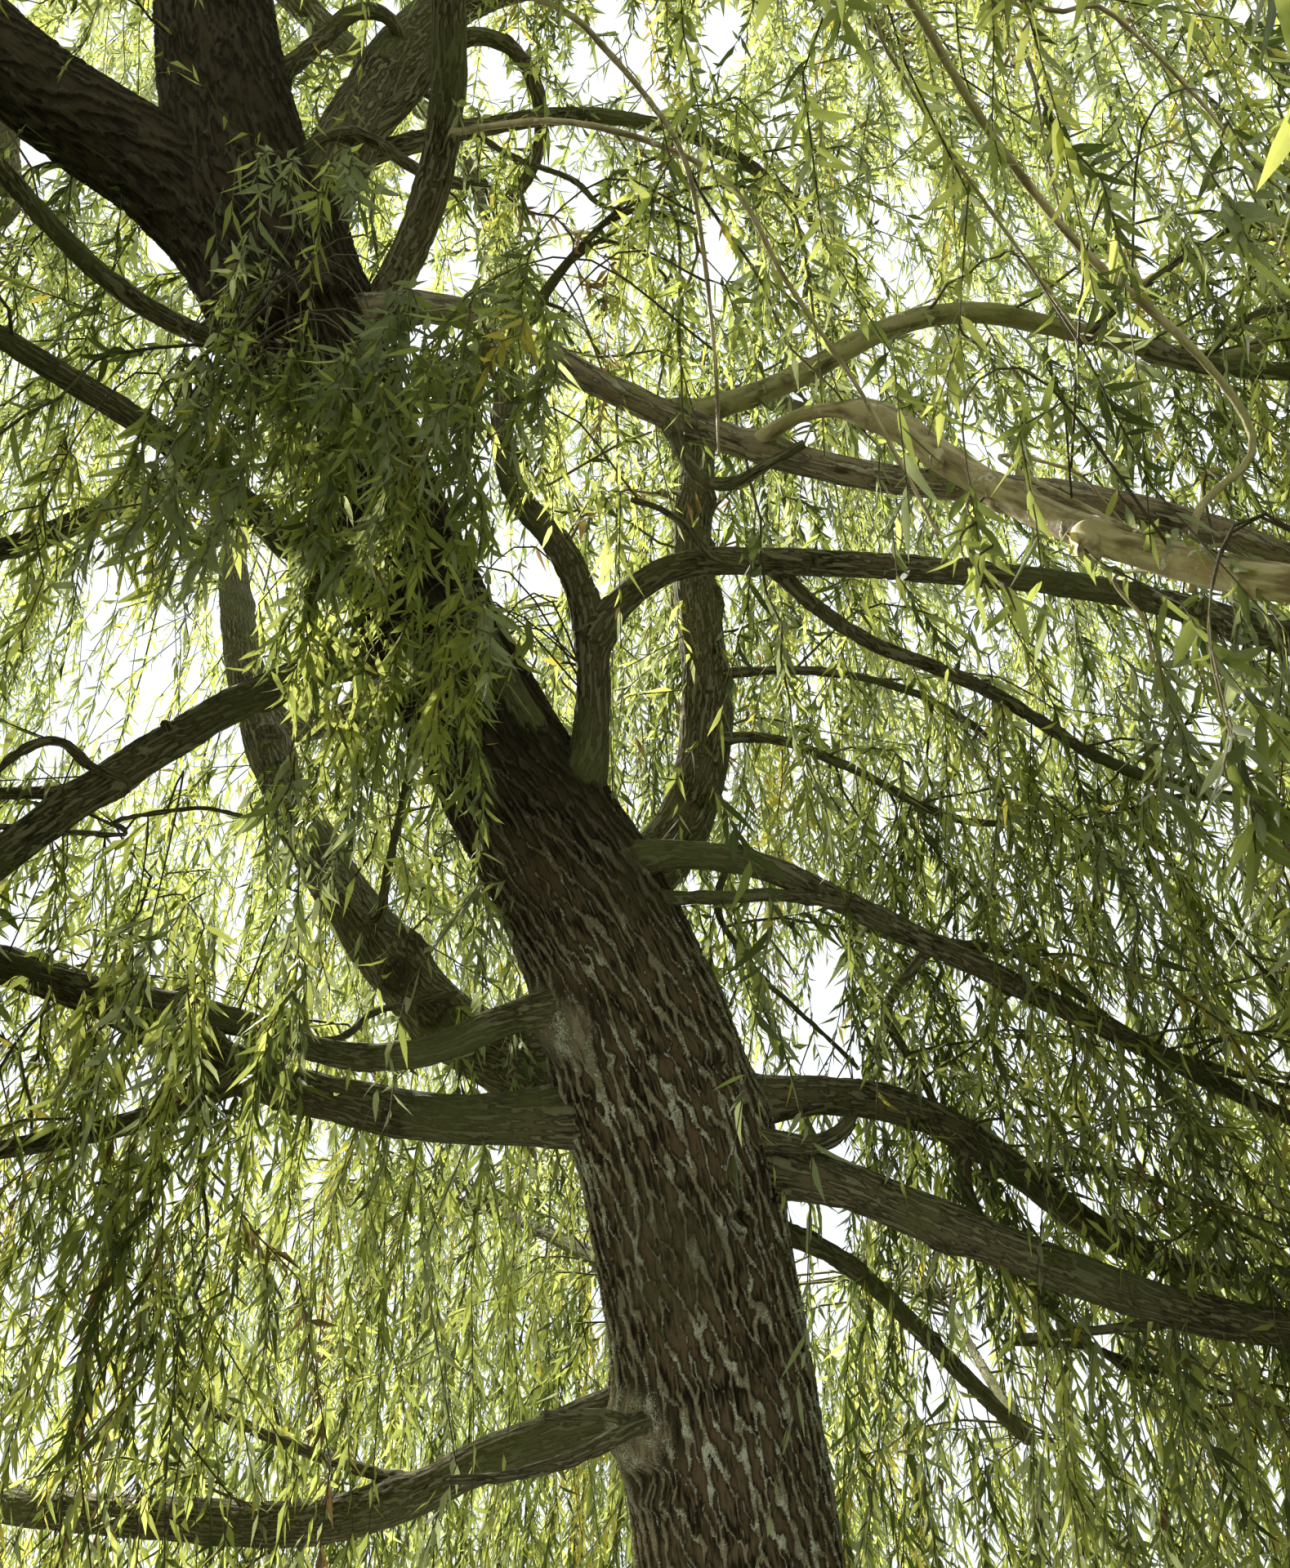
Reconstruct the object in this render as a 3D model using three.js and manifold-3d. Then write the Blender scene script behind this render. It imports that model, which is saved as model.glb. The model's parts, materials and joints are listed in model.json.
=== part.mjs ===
// Weeping willow: a leaning trunk, its boughs, and masses of hanging foliage.
// Millimetres, +Z up, origin at the middle of the trunk's flat cut at ground level.
import * as THREE from 'three';
import { mergeVertices } from 'three/addons/utils/BufferGeometryUtils.js';
import Module from 'manifold-3d';

const wasm = await Module();
wasm.setup();

// Clearances
const SEAM = 0.3;                 // gap between two pieces that meet
const SEAM_CUT = 0.36;            // how much a limb is fattened to cut that gap into its neighbour
const CLEARANCE = 12;             // least gap between a twig and anything it doesn't grow from
const SLIVER = 0.05;              // facets smaller than this are merged after a cut
const SAME_POINT = 1e-4;          // points nearer than this are one

// Trunk. Headings turn anticlockwise from +X and climbs rise from level, in degrees. Each list of
// headings, climbs or girths is spread evenly from the foot of a limb to its tip.
const TRUNK = {
  name: 'trunk', length: 5940,
  heading: [-103, -107, -103, -111, -146, -130, -143],
  climb: [90, 67, 57, 58, 50, 53, 58],
  girth: [640, 580, 540, 505, 475, 370, 345, 400],
};
const TRUNK_SIDES = 20;
const TRUNK_RINGS = 17;
const TRUNK_RING_CROWDING = 1.35; // rings stand closer together at the foot
const ROOT_FLARE = 0.62;          // extra radius of the flare at ground level, as a share
const ROOT_FLARE_HEIGHT = 260;    // height over which the flare fades
const ROOT_LOBES = 5;
const ROOT_LOBE_DEPTH = 0.3;      // how far the lobes stand out of the flare, as a share of it
const ROOT_LOBE_TURN = 0.5;       // radians

// Boughs and stems: where each leaves its parent (share of the parent's length), its length, its
// girth (diameter), headings and climbs.
const LIMBS = [
  { name: 'leader', from: 'trunk', share: 1, length: 3650, girth: [392, 330, 230, 120],
    heading: [-120, -155, -280, -255], climb: [60, 85, 80, 75] },
  { name: 'bough_left_upper', from: 'trunk', share: 0.93, length: 3050, girth: [300, 270, 200, 100],
    heading: [-140, -160, -160, -170, -170], climb: [50, 25, 50, 45, 65] },
  { name: 'bough_upper_right', from: 'trunk', share: 0.96, length: 3300, girth: [190, 165, 130, 70],
    heading: [-60, -10, -5, -10, -20], climb: [65, 80, 45, 35, 5] },
  { name: 'bough_left_low', from: 'trunk', share: 0.41, length: 3900, girth: [150, 120, 98, 60],
    heading: [-175, -220, -200, -210, -210, -210], climb: [-10, -15, 5, 5, 45, 10] },
  { name: 'bough_left_mid', from: 'trunk', share: 0.54, length: 3850, girth: [130, 112, 90, 55],
    heading: [-170, -190, -185, -190, -180, -190], climb: [-20, 15, 30, 10, 0, 5] },
  { name: 'bough_left_slender', from: 'trunk', share: 0.58, length: 2750, girth: [86, 62, 44, 34],
    heading: [-130, -190, -170, -195, -175, -140, -140], climb: [-10, -25, 20, 15, 20, 20, 10] },
  { name: 'stem_rear_left', from: 'trunk', share: 0.55, length: 4750, girth: [215, 170, 130, 75],
    heading: [140, 170, 160, 150, 115, 120], climb: [5, 50, 60, 70, 60, 45] },
  { name: 'stem_rear_mid', from: 'stem_rear_left', share: 0.5, length: 2150, girth: [110, 60],
    heading: [60, 80, 85, 80], climb: [20, 60, 55, 50] },
  { name: 'bough_rear_low', from: 'trunk', share: 0.33, length: 3100, girth: [110, 60],
    heading: [90, 100, 115, 125], climb: [55, 30, 25, 25] },
  { name: 'bough_right_thin', from: 'trunk', share: 0.49, length: 2850, girth: [58, 34],
    heading: [20, 50, 55, 90, 85], climb: [0, -20, -15, 30, 30] },
  { name: 'bough_right_mid', from: 'trunk', share: 0.51, length: 2850, girth: [125, 104, 90, 60],
    heading: [-5, -5, 15, 5, 5, 0], climb: [0, -25, -15, 0, 15, 30] },
  { name: 'bough_right_broken', from: 'trunk', share: 0.53, length: 2100, girth: [108, 90, 78],
    heading: [-10, 20, 30, 40, 35, 20], climb: [10, 10, -15, -20, -5, 0] },
  { name: 'bough_right_upper', from: 'trunk', share: 0.64, length: 3650, girth: [76, 58, 44, 34],
    heading: [-40, 15, 30, 30, 40, 50, 55], climb: [10, -20, -10, -10, 0, 10, 25] },
  { name: 'stem_rear_right', from: 'trunk', share: 0.64, length: 3450, girth: [185, 150, 110, 70],
    heading: [75, -20, -160, 40, 70, 50], climb: [15, 75, 85, 85, 50, 40] },
  { name: 'stem_inner', from: 'trunk', share: 0.67, length: 1550, girth: [98, 80, 48],
    heading: [-35, -80, -110, -175, -130, -40], climb: [15, 55, 60, 50, 85, 65] },
  { name: 'stem_broken', from: 'trunk', share: 0.69, length: 700, girth: [80, 58],
    heading: [-50, -120, -150, -110], climb: [15, 40, 55, 70] },
  { name: 'bough_right_dark', from: 'stem_inner', share: 0.35, length: 2550, girth: [76, 60, 42],
    heading: [-45, -10, -10, -5, 0, 10, 20], climb: [50, -10, -15, -15, -30, 5, 15] },
  { name: 'bough_right_fork', from: 'bough_right_dark', share: 0.22, length: 2550, girth: [42, 30],
    heading: [50, 25, 35, 25, 35, 40], climb: [-15, 0, -10, 5, 15, 25] },
  { name: 'bough_left_dark', from: 'trunk', share: 0.77, length: 3250, girth: [96, 78, 52],
    heading: [175, 200, 210, 220, 220, 220], climb: [-10, -50, -60, 5, 5, 10] },
  { name: 'bough_left_front', from: 'trunk', share: 0.8, length: 2250, girth: [90, 58, 38],
    heading: [-165, -140, -145, -150, -160, -150], climb: [-10, 25, 10, 15, 30, 20] },
  { name: 'bough_left_side', from: 'bough_left_front', share: 0.28, length: 1600, girth: [66, 40],
    heading: [160, 160, 165, 175], climb: [-15, -5, 30, 35] },
  { name: 'bough_left_thin', from: 'trunk', share: 0.92, length: 2800, girth: [58, 44, 36],
    heading: [-160, -120, -105, -115, -100], climb: [-25, 5, -5, -10, 0] },
  { name: 'bough_front_low', from: 'trunk', share: 0.9, length: 3950, girth: [104, 84, 56],
    heading: [-30, -85, -80, -80, -85], climb: [60, 15, -20, -30, -30] },
  { name: 'bough_right_long', from: 'trunk', share: 0.93, length: 3950, girth: [88, 72, 66, 48],
    heading: [-25, 5, 0, -15, 15, -40, -35], climb: [15, -40, -30, -20, -15, -15, 5] },
  { name: 'bough_right_near', from: 'bough_right_long', share: 0.36, length: 2800, girth: [70, 62, 46],
    heading: [-65, -15, -55, -55, -60, -55], climb: [-10, -60, -55, -45, 20, 5] },
  { name: 'bough_right_high', from: 'bough_right_long', share: 0.3, length: 2250, girth: [64, 58, 44],
    heading: [15, -10, 20, 20, 20], climb: [30, 35, 10, 10, 55] },
  { name: 'bough_front_high', from: 'leader', share: 0.25, length: 1900, girth: [120, 64],
    heading: [-90, -70, -75, -80], climb: [60, 40, 30, 10] },
  { name: 'bough_rear_high', from: 'leader', share: 0.38, length: 2450, girth: [120, 60],
    heading: [75, 70, 70, 85], climb: [35, 40, 45, 20] },
  { name: 'bough_left_high', from: 'bough_left_upper', share: 0.42, length: 2350, girth: [130, 64],
    heading: [120, 125, 120, 135], climb: [45, 40, 40, 40] },
  { name: 'bough_right_top', from: 'bough_upper_right', share: 0.45, length: 2300, girth: [96, 54],
    heading: [20, 20, 30, 45], climb: [45, 45, 45, 45] },
];
const THICK_GIRTH = 160;          // a limb thicker than this has more sides
const THICK_SIDES = 8;
const THIN_SIDES = 6;
const RING_SPACING = 340;
const LEAST_RINGS = 6;
const LINE_STEPS = 60;            // steps along the centre line of a limb
const COLLAR_SWELL = 0.45;        // extra radius where a limb leaves its parent, as a share
const COLLAR_REACH = 1.3;         // how far the collar runs out, in limb radii

// Foliage masses: the bough each grows on from, its reach (radius in plan), its rise (crown above the
// bough's tip), its skirt (height of the lowest leaves above ground) and its number of twigs.
const MASSES = [
  { name: 'foliage_left_low', from: 'bough_left_low', reach: 1250, rise: 650, skirt: 600, twigs: 4 },
  { name: 'foliage_left_mid', from: 'bough_left_mid', reach: 1250, rise: 650, skirt: 800, twigs: 4 },
  { name: 'foliage_left_slender', from: 'bough_left_slender', reach: 800, rise: 450, skirt: 1500, twigs: 3 },
  { name: 'foliage_rear_left', from: 'stem_rear_left', reach: 1300, rise: 700, skirt: 3900, twigs: 4 },
  { name: 'foliage_rear_mid', from: 'stem_rear_mid', reach: 1250, rise: 750, skirt: 3900, twigs: 4 },
  { name: 'foliage_rear_low', from: 'bough_rear_low', reach: 1250, rise: 450, skirt: 700, twigs: 4 },
  { name: 'foliage_right_thin', from: 'bough_right_thin', reach: 1200, rise: 600, skirt: 700, twigs: 4 },
  { name: 'foliage_right_mid', from: 'bough_right_mid', reach: 1100, rise: 450, skirt: 700, twigs: 4 },
  { name: 'foliage_right_upper', from: 'bough_right_upper', reach: 1150, rise: 550, skirt: 800, twigs: 4 },
  { name: 'foliage_rear_right', from: 'stem_rear_right', reach: 1250, rise: 850, skirt: 4200, twigs: 4 },
  { name: 'foliage_inner', from: 'stem_inner', reach: 560, rise: 420, skirt: 3700, twigs: 3 },
  { name: 'foliage_right_dark', from: 'bough_right_dark', reach: 800, rise: 500, skirt: 2300, twigs: 3 },
  { name: 'foliage_right_fork', from: 'bough_right_fork', reach: 800, rise: 450, skirt: 3300, twigs: 3 },
  { name: 'foliage_left_dark', from: 'bough_left_dark', reach: 1200, rise: 650, skirt: 700, twigs: 4 },
  { name: 'foliage_left_front', from: 'bough_left_front', reach: 1150, rise: 650, skirt: 3800, twigs: 4 },
  { name: 'foliage_left_side', from: 'bough_left_side', reach: 1050, rise: 600, skirt: 4000, twigs: 3 },
  { name: 'foliage_left_thin', from: 'bough_left_thin', reach: 1200, rise: 600, skirt: 900, twigs: 4 },
  { name: 'foliage_front_low', from: 'bough_front_low', reach: 1200, rise: 500, skirt: 900, twigs: 4 },
  { name: 'foliage_right_long', from: 'bough_right_long', reach: 1150, rise: 600, skirt: 800, twigs: 4 },
  { name: 'foliage_right_near', from: 'bough_right_near', reach: 1100, rise: 600, skirt: 800, twigs: 4 },
  { name: 'foliage_right_high', from: 'bough_right_high', reach: 1050, rise: 800, skirt: 4400, twigs: 4 },
  { name: 'foliage_upper_right', from: 'bough_upper_right', reach: 1200, rise: 700, skirt: 4700, twigs: 4 },
  { name: 'foliage_front_high', from: 'bough_front_high', reach: 1200, rise: 700, skirt: 5000, twigs: 4 },
  { name: 'foliage_rear_high', from: 'bough_rear_high', reach: 1200, rise: 900, skirt: 7100, twigs: 3 },
  { name: 'foliage_left_upper', from: 'bough_left_upper', reach: 1200, rise: 700, skirt: 5500, twigs: 4 },
  { name: 'foliage_left_high', from: 'bough_left_high', reach: 1200, rise: 800, skirt: 5500, twigs: 4 },
  { name: 'foliage_right_top', from: 'bough_right_top', reach: 1100, rise: 800, skirt: 7300, twigs: 3 },
  { name: 'foliage_crown', from: 'leader', reach: 1250, rise: 1150, skirt: 7600, twigs: 4 },
];
const GOLDEN_ANGLE = THREE.MathUtils.degToRad(137.5);
const MASS_OFFSET = 0.72;         // from the bough's tip to the middle of its mass, as a share of the reach
const STEM_SIDES = 4;
const STEM_RINGS = 3;
const STEM_TAPER = 0.45;          // girth at the stem's end, as a share of the bough's tip
const STEM_LEAD = 0.5;            // how far the stem goes straight on, as a share of the reach
const STEM_TOP = 0.7;             // height of the stem's end, as a share of the rise
const TWIG_ROOT = [0.3, 0.95];    // stretch of the stem that twigs leave from
const TWIG_OUT = [0.5, 0.97];     // how far out a twig starts to hang, as a share of the reach
const TWIG_LIFT = 0.3;            // height of a twig's arch, as a share of the rise
const TWIG_ARCH = [[0, 0], [0.42, 1], [0.82, 0.75], [1, -0.7]]; // shares of the way out and of the lift
const TWIG_GIRTH = [46, 40, 34, 28, 16];
const TWIG_SIDES = 3;
const TWIG_STRAY = 0.3;           // how far a twig's heading may stray, in radians
const HANG_UNEVEN = 0.28;         // how unevenly the twigs end above the skirt, as a share of their drop
const LEAF_STATIONS = [0.46, 0.7, 0.84];
const LEAF_LENGTH = [1200, 1700];
const LEAF_WIDTH = 0.16;          // as a share of the length
const LEAF_THICKNESS = 0.03;      // as a share of the length
const LEAF_WIDEST = 0.38;         // where a leaf is widest, as a share of its length
const LEAF_SPLAY = 0.5;           // how far a leaf leans out of the vertical, as a tangent
const LEAF_TURN = [0.6, 1.6];     // how far a leaf turns aside from its twig, in radians
const SPACE_SHARE = 0.03;         // strip left free between two masses, as a share of the reach
const FIRST_SEED = 101;
const SEED_STEP = 37;

// Colours and finishes
const BARK = { color: 0x4b4338, roughness: 0.95, metalness: 0 };
const BOUGH_BARK = { color: 0x6b6248, roughness: 0.85, metalness: 0 };
const FOLIAGE = { color: 0x86a33c, roughness: 0.7, metalness: 0 };

// Park and Miller's generator: the same seed always gives the same tree
function randomFrom(seed) {
  let state = seed;
  return () => {
    state = (state * 16807) % 2147483647;
    return state / 2147483647;
  };
}

function mix(low, high, share) {
  return low + (high - low) * share;
}

// Value at a share of a list whose entries are spread evenly from 0 to 1
function along(list, share) {
  const place = Math.min(Math.max(share, 0), 1) * (list.length - 1);
  const index = Math.min(Math.floor(place), list.length - 2);
  return mix(list[index], list[index + 1], place - index);
}

function directionAt(limb, share) {
  const heading = THREE.MathUtils.degToRad(along(limb.heading, share));
  const climb = THREE.MathUtils.degToRad(along(limb.climb, share));
  return new THREE.Vector3(
    Math.cos(climb) * Math.cos(heading), Math.cos(climb) * Math.sin(heading), Math.sin(climb));
}

// Centre line of a limb, stepped off from its foot
function centreLine(limb, foot) {
  const points = [foot.clone()];
  for (let i = 0; i < LINE_STEPS; i += 1) {
    const step = directionAt(limb, (i + 0.5) / LINE_STEPS);
    points.push(points[i].clone().addScaledVector(step, limb.length / LINE_STEPS));
  }
  return points;
}

function pointAt(points, share) {
  const place = Math.min(Math.max(share, 0), 1) * (points.length - 1);
  const index = Math.min(Math.floor(place), points.length - 2);
  return points[index].clone().lerp(points[index + 1], place - index);
}

// Closed solid through rings of points, with flat ends
function solidFromRings(rings) {
  const sides = rings[0].length;
  const positions = [];
  const indices = [];
  rings.forEach((ring) => ring.forEach((p) => positions.push(p.x, p.y, p.z)));
  for (let r = 0; r < rings.length - 1; r += 1) {
    for (let s = 0; s < sides; s += 1) {
      const a = r * sides + s;
      const b = r * sides + ((s + 1) % sides);
      indices.push(a, b, a + sides, b, b + sides, a + sides);
    }
  }
  const last = (rings.length - 1) * sides;
  for (let s = 1; s < sides - 1; s += 1) {
    indices.push(0, s + 1, s, last, last + s, last + s + 1);
  }
  let geometry = new THREE.BufferGeometry();
  geometry.setAttribute('position', new THREE.Float32BufferAttribute(positions, 3));
  geometry.setIndex(indices);
  geometry = mergeVertices(geometry, SAME_POINT);
  const mesh = { numProp: 3, vertProperties: geometry.attributes.position.array };
  mesh.triVerts = new Uint32Array(geometry.index.array);
  return new wasm.Manifold(new wasm.Mesh(mesh));
}

// Rings round a centre line, turned as little as possible from one to the next
function sweep(points, directions, radiusAt, sides) {
  const across = new THREE.Vector3(0, 1, 0).cross(directions[0]).normalize();
  const rings = points.map((point, index) => {
    const direction = directions[index];
    across.addScaledVector(direction, -across.dot(direction)).normalize();
    const over = direction.clone().cross(across);
    return Array.from({ length: sides }, (_, side) => {
      const angle = (2 * Math.PI * side) / sides;
      const radius = radiusAt(index, angle);
      return point.clone()
        .addScaledVector(across, Math.cos(angle) * radius)
        .addScaledVector(over, Math.sin(angle) * radius);
    });
  });
  return solidFromRings(rings);
}

function limbSides(limb) {
  if (limb.name === 'trunk') return TRUNK_SIDES;
  return Math.max(...limb.girth) > THICK_GIRTH ? THICK_SIDES : THIN_SIDES;
}

// Radius of a limb without its flare or collar
function plainRadius(limb, share) {
  return along(limb.girth, share) / 2;
}

function trunkSwell(height, angle) {
  const fade = Math.exp(-height / ROOT_FLARE_HEIGHT);
  const lobe = 1 + ROOT_LOBE_DEPTH * Math.cos(ROOT_LOBES * angle + ROOT_LOBE_TURN);
  return 1 + ROOT_FLARE * fade * lobe;
}

function collarSwell(limb, share) {
  const past = Math.max(share * limb.length - limb.buried, 0);
  return 1 + COLLAR_SWELL * Math.exp(-past / (COLLAR_REACH * plainRadius(limb, 0)));
}

// Solid of a limb, fattened by an extra radius where it serves as a cutter
function limbSolid(limb, extra) {
  const isTrunk = limb.name === 'trunk';
  const rings = isTrunk ? TRUNK_RINGS : Math.max(LEAST_RINGS, Math.round(limb.length / RING_SPACING));
  const crowding = isTrunk ? TRUNK_RING_CROWDING : 1;
  const shares = Array.from({ length: rings + 1 }, (_, i) => (i / rings) ** crowding);
  const points = shares.map((share) => pointAt(limb.points, share));
  const directions = shares.map((share) => directionAt(limb, share));
  points[0].addScaledVector(directions[0], -extra);
  points[rings].addScaledVector(directions[rings], extra);
  const radiusAt = (index, angle) => {
    const swell = isTrunk ? trunkSwell(points[index].z, angle) : collarSwell(limb, shares[index]);
    return plainRadius(limb, shares[index]) * swell + extra;
  };
  return sweep(points, directions, radiusAt, limbSides(limb));
}

function boxesMeet(a, b, margin) {
  const first = a.boundingBox();
  const second = b.boundingBox();
  return [0, 1, 2].every((axis) => first.min[axis] < second.max[axis] + margin
    && second.min[axis] < first.max[axis] + margin);
}

function largestPiece(solid) {
  return solid.decompose().sort((a, b) => b.volume() - a.volume())[0];
}

// A limb starts on its parent's centre line, and every limb made before it is cut out of it
function growLimbs() {
  const trunk = { ...TRUNK, points: centreLine(TRUNK, new THREE.Vector3()), buried: 0 };
  const grown = new Map([['trunk', trunk]]);
  trunk.solid = limbSolid(trunk, 0);
  trunk.cutter = limbSolid(trunk, SEAM_CUT);
  LIMBS.forEach((size) => {
    const parent = grown.get(size.from);
    const foot = pointAt(parent.points, size.share);
    const limb = { ...size };
    limb.buried = plainRadius(parent, size.share);
    if (size.share === 1) {
      foot.addScaledVector(directionAt(parent, 1), SEAM);
      limb.buried = -2 * limb.buried;
    }
    limb.points = centreLine(size, foot);
    limb.solid = limbSolid(limb, 0);
    limb.cutter = limbSolid(limb, SEAM_CUT);
    grown.forEach((other) => {
      if (boxesMeet(limb.solid, other.cutter, 0)) {
        limb.solid = limb.solid.subtract(other.cutter);
      }
    });
    limb.solid = largestPiece(limb.solid).simplify(SLIVER);
    grown.set(limb.name, limb);
  });
  return grown;
}

// The space of each mass: an upright round space under the bough's tip, from crown to skirt
function massSpace(size, limbs) {
  const bough = limbs.get(size.from);
  const tip = pointAt(bough.points, 1);
  const onward = directionAt(bough, 1);
  const level = new THREE.Vector3(onward.x, onward.y, 0).normalize();
  const middle = tip.clone().addScaledVector(level, size.reach * MASS_OFFSET);
  return { ...size, bough, tip, onward, middle, top: tip.z + size.rise };
}

function planDistance(point, middle) {
  return Math.hypot(point.x - middle.x, point.y - middle.y);
}

// A point is in a mass's own space when it is within reach, above the skirt, under the crown, and
// nearer to its middle, in reaches, than to that of any mass at the same height
function isInSpace(point, mass, masses) {
  const own = planDistance(point, mass.middle) / mass.reach;
  if (own > 1 || point.z < mass.skirt || point.z > mass.top) return false;
  return masses.every((other) => {
    if (other === mass || point.z < other.skirt || point.z > other.top) return true;
    return own + SPACE_SHARE < planDistance(point, other.middle) / other.reach;
  });
}

// Stretched octahedron standing for a spray of leaves: its root lies in the twig, its tip hangs
function leafSolid(root, lean, length, turn) {
  const down = new THREE.Vector3(lean.x * LEAF_SPLAY, lean.y * LEAF_SPLAY, -1).normalize();
  const flat = new THREE.Vector3(Math.cos(turn), Math.sin(turn), 0);
  flat.addScaledVector(down, -flat.dot(down)).normalize();
  const thick = down.clone().cross(flat);
  const belly = root.clone().addScaledVector(down, length * LEAF_WIDEST);
  const tip = belly.clone().addScaledVector(down, length * (1 - LEAF_WIDEST) / 2);
  tip.z -= length * (1 - LEAF_WIDEST) / 2;
  const corners = [[1, 0], [0, 1], [-1, 0], [0, -1]].map(([a, b]) => belly.clone()
    .addScaledVector(flat, a * length * LEAF_WIDTH / 2)
    .addScaledVector(thick, b * length * LEAF_THICKNESS / 2));
  const ends = [root, tip].map((end) => corners.map(() => end));
  return { solid: solidFromRings([ends[0], corners, ends[1]]), points: [...corners, tip] };
}

// A twig arches from the stem to its place under the reach and hangs from there
function twigLine(mass, from, heading, out, drop) {
  const end = mass.middle.clone();
  end.x += Math.cos(heading) * out;
  end.y += Math.sin(heading) * out;
  const lift = mass.rise * TWIG_LIFT;
  const line = TWIG_ARCH.map(([share, height]) => {
    const point = from.clone().lerp(end, share);
    point.z = from.z + lift * height;
    return point;
  });
  line.push(new THREE.Vector3(end.x, end.y, drop));
  return line;
}

function twigSolid(line) {
  const directions = line.map((point, index) => {
    const before = line[Math.max(index - 1, 0)];
    const after = line[Math.min(index + 1, line.length - 1)];
    return after.clone().sub(before).normalize();
  });
  const radiusAt = (index) => along(TWIG_GIRTH, index / (line.length - 1)) / 2;
  return sweep(line, directions, radiusAt, TWIG_SIDES);
}

function isClear(solid, obstacles) {
  return obstacles.every((other) => !boxesMeet(solid, other, CLEARANCE)
    || solid.minGap(other, CLEARANCE) >= CLEARANCE);
}

// The stem goes on from the bough's tip and arches over to the middle of the mass
function stemSolid(mass) {
  const foot = mass.tip.clone().addScaledVector(mass.onward, SEAM);
  const lead = foot.clone().addScaledVector(mass.onward, mass.reach * STEM_LEAD);
  const end = mass.middle.clone();
  end.z = mass.tip.z + mass.rise * STEM_TOP;
  const curve = new THREE.QuadraticBezierCurve3(foot, lead, end);
  const shares = Array.from({ length: STEM_RINGS + 1 }, (_, i) => i / STEM_RINGS);
  const points = shares.map((share) => curve.getPoint(share));
  const directions = shares.map((share) => curve.getTangent(share));
  const radius = plainRadius(mass.bough, 1);
  const radiusAt = (index) => radius * mix(1, STEM_TAPER, shares[index]);
  return { curve, solid: sweep(points, directions, radiusAt, STEM_SIDES) };
}

function growMass(mass, masses, obstacles, seed) {
  const random = randomFrom(seed);
  const stem = stemSolid(mass);
  const parts = [stem.solid];
  const first = Math.atan2(mass.onward.y, mass.onward.x);
  for (let i = 0; i < mass.twigs; i += 1) {
    const share = mix(...TWIG_ROOT, (i + 0.5) / mass.twigs);
    const from = stem.curve.getPoint(share);
    const heading = first + i * GOLDEN_ANGLE + mix(-TWIG_STRAY, TWIG_STRAY, random());
    const out = mass.reach * mix(...TWIG_OUT, random());
    const drop = mix(mass.skirt, from.z, HANG_UNEVEN * random());
    const line = twigLine(mass, from, heading, out, drop);
    const twig = twigSolid(line);
    const fits = line.every((point) => isInSpace(point, mass, masses));
    if (fits && isClear(twig, obstacles)) {
      parts.push(twig);
      LEAF_STATIONS.forEach((station, index) => {
        const root = pointAt(line, station);
        const side = heading + (index % 2 ? 1 : -1) * mix(...LEAF_TURN, random());
        const lean = new THREE.Vector3(Math.cos(side), Math.sin(side), 0);
        const room = root.z - mass.skirt;
        const length = Math.min(mix(...LEAF_LENGTH, random()), room);
        const leaf = leafSolid(root, lean, length, side + random() * Math.PI);
        const inside = leaf.points.every((point) => isInSpace(point, mass, masses));
        if (inside && isClear(leaf.solid, obstacles)) parts.push(leaf.solid);
      });
    }
  }
  return largestPiece(wasm.Manifold.union(parts)).simplify(SLIVER);
}

function meshFrom(solid, name, finish) {
  const { vertProperties, triVerts } = solid.getMesh();
  const geometry = new THREE.BufferGeometry();
  geometry.setAttribute('position', new THREE.Float32BufferAttribute(vertProperties, 3));
  geometry.setIndex(Array.from(triVerts));
  geometry.computeVertexNormals();
  const mesh = new THREE.Mesh(geometry, new THREE.MeshStandardMaterial(finish));
  mesh.name = name;
  return mesh;
}

const tree = new THREE.Group();
const limbs = growLimbs();
const wood = new THREE.Group();
limbs.forEach((limb) => {
  wood.add(meshFrom(limb.solid, limb.name, limb.name === 'trunk' ? BARK : BOUGH_BARK));
});
tree.add(wood);

const masses = MASSES.map((size) => massSpace(size, limbs));
const obstacles = Array.from(limbs.values(), (limb) => limb.solid);
const foliage = new THREE.Group();
masses.forEach((mass, index) => {
  const solid = growMass(mass, masses, obstacles, FIRST_SEED + SEED_STEP * index);
  obstacles.push(solid);
  foliage.add(meshFrom(solid, mass.name, FOLIAGE));
});
tree.add(foliage);

export default tree;
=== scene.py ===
"""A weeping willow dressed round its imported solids: bark in relief, twigs, and leaves dealt out by spray.

Metres, +Z up, origin at the middle of the trunk's flat cut at ground level. The limbs and the masses of
foliage follow the same rule as the solids, carried on to finer twigs.
"""
import json
import logging
import math
from dataclasses import dataclass, field, replace
from enum import Enum
from itertools import product
from typing import Any, Iterable, Sequence

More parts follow.
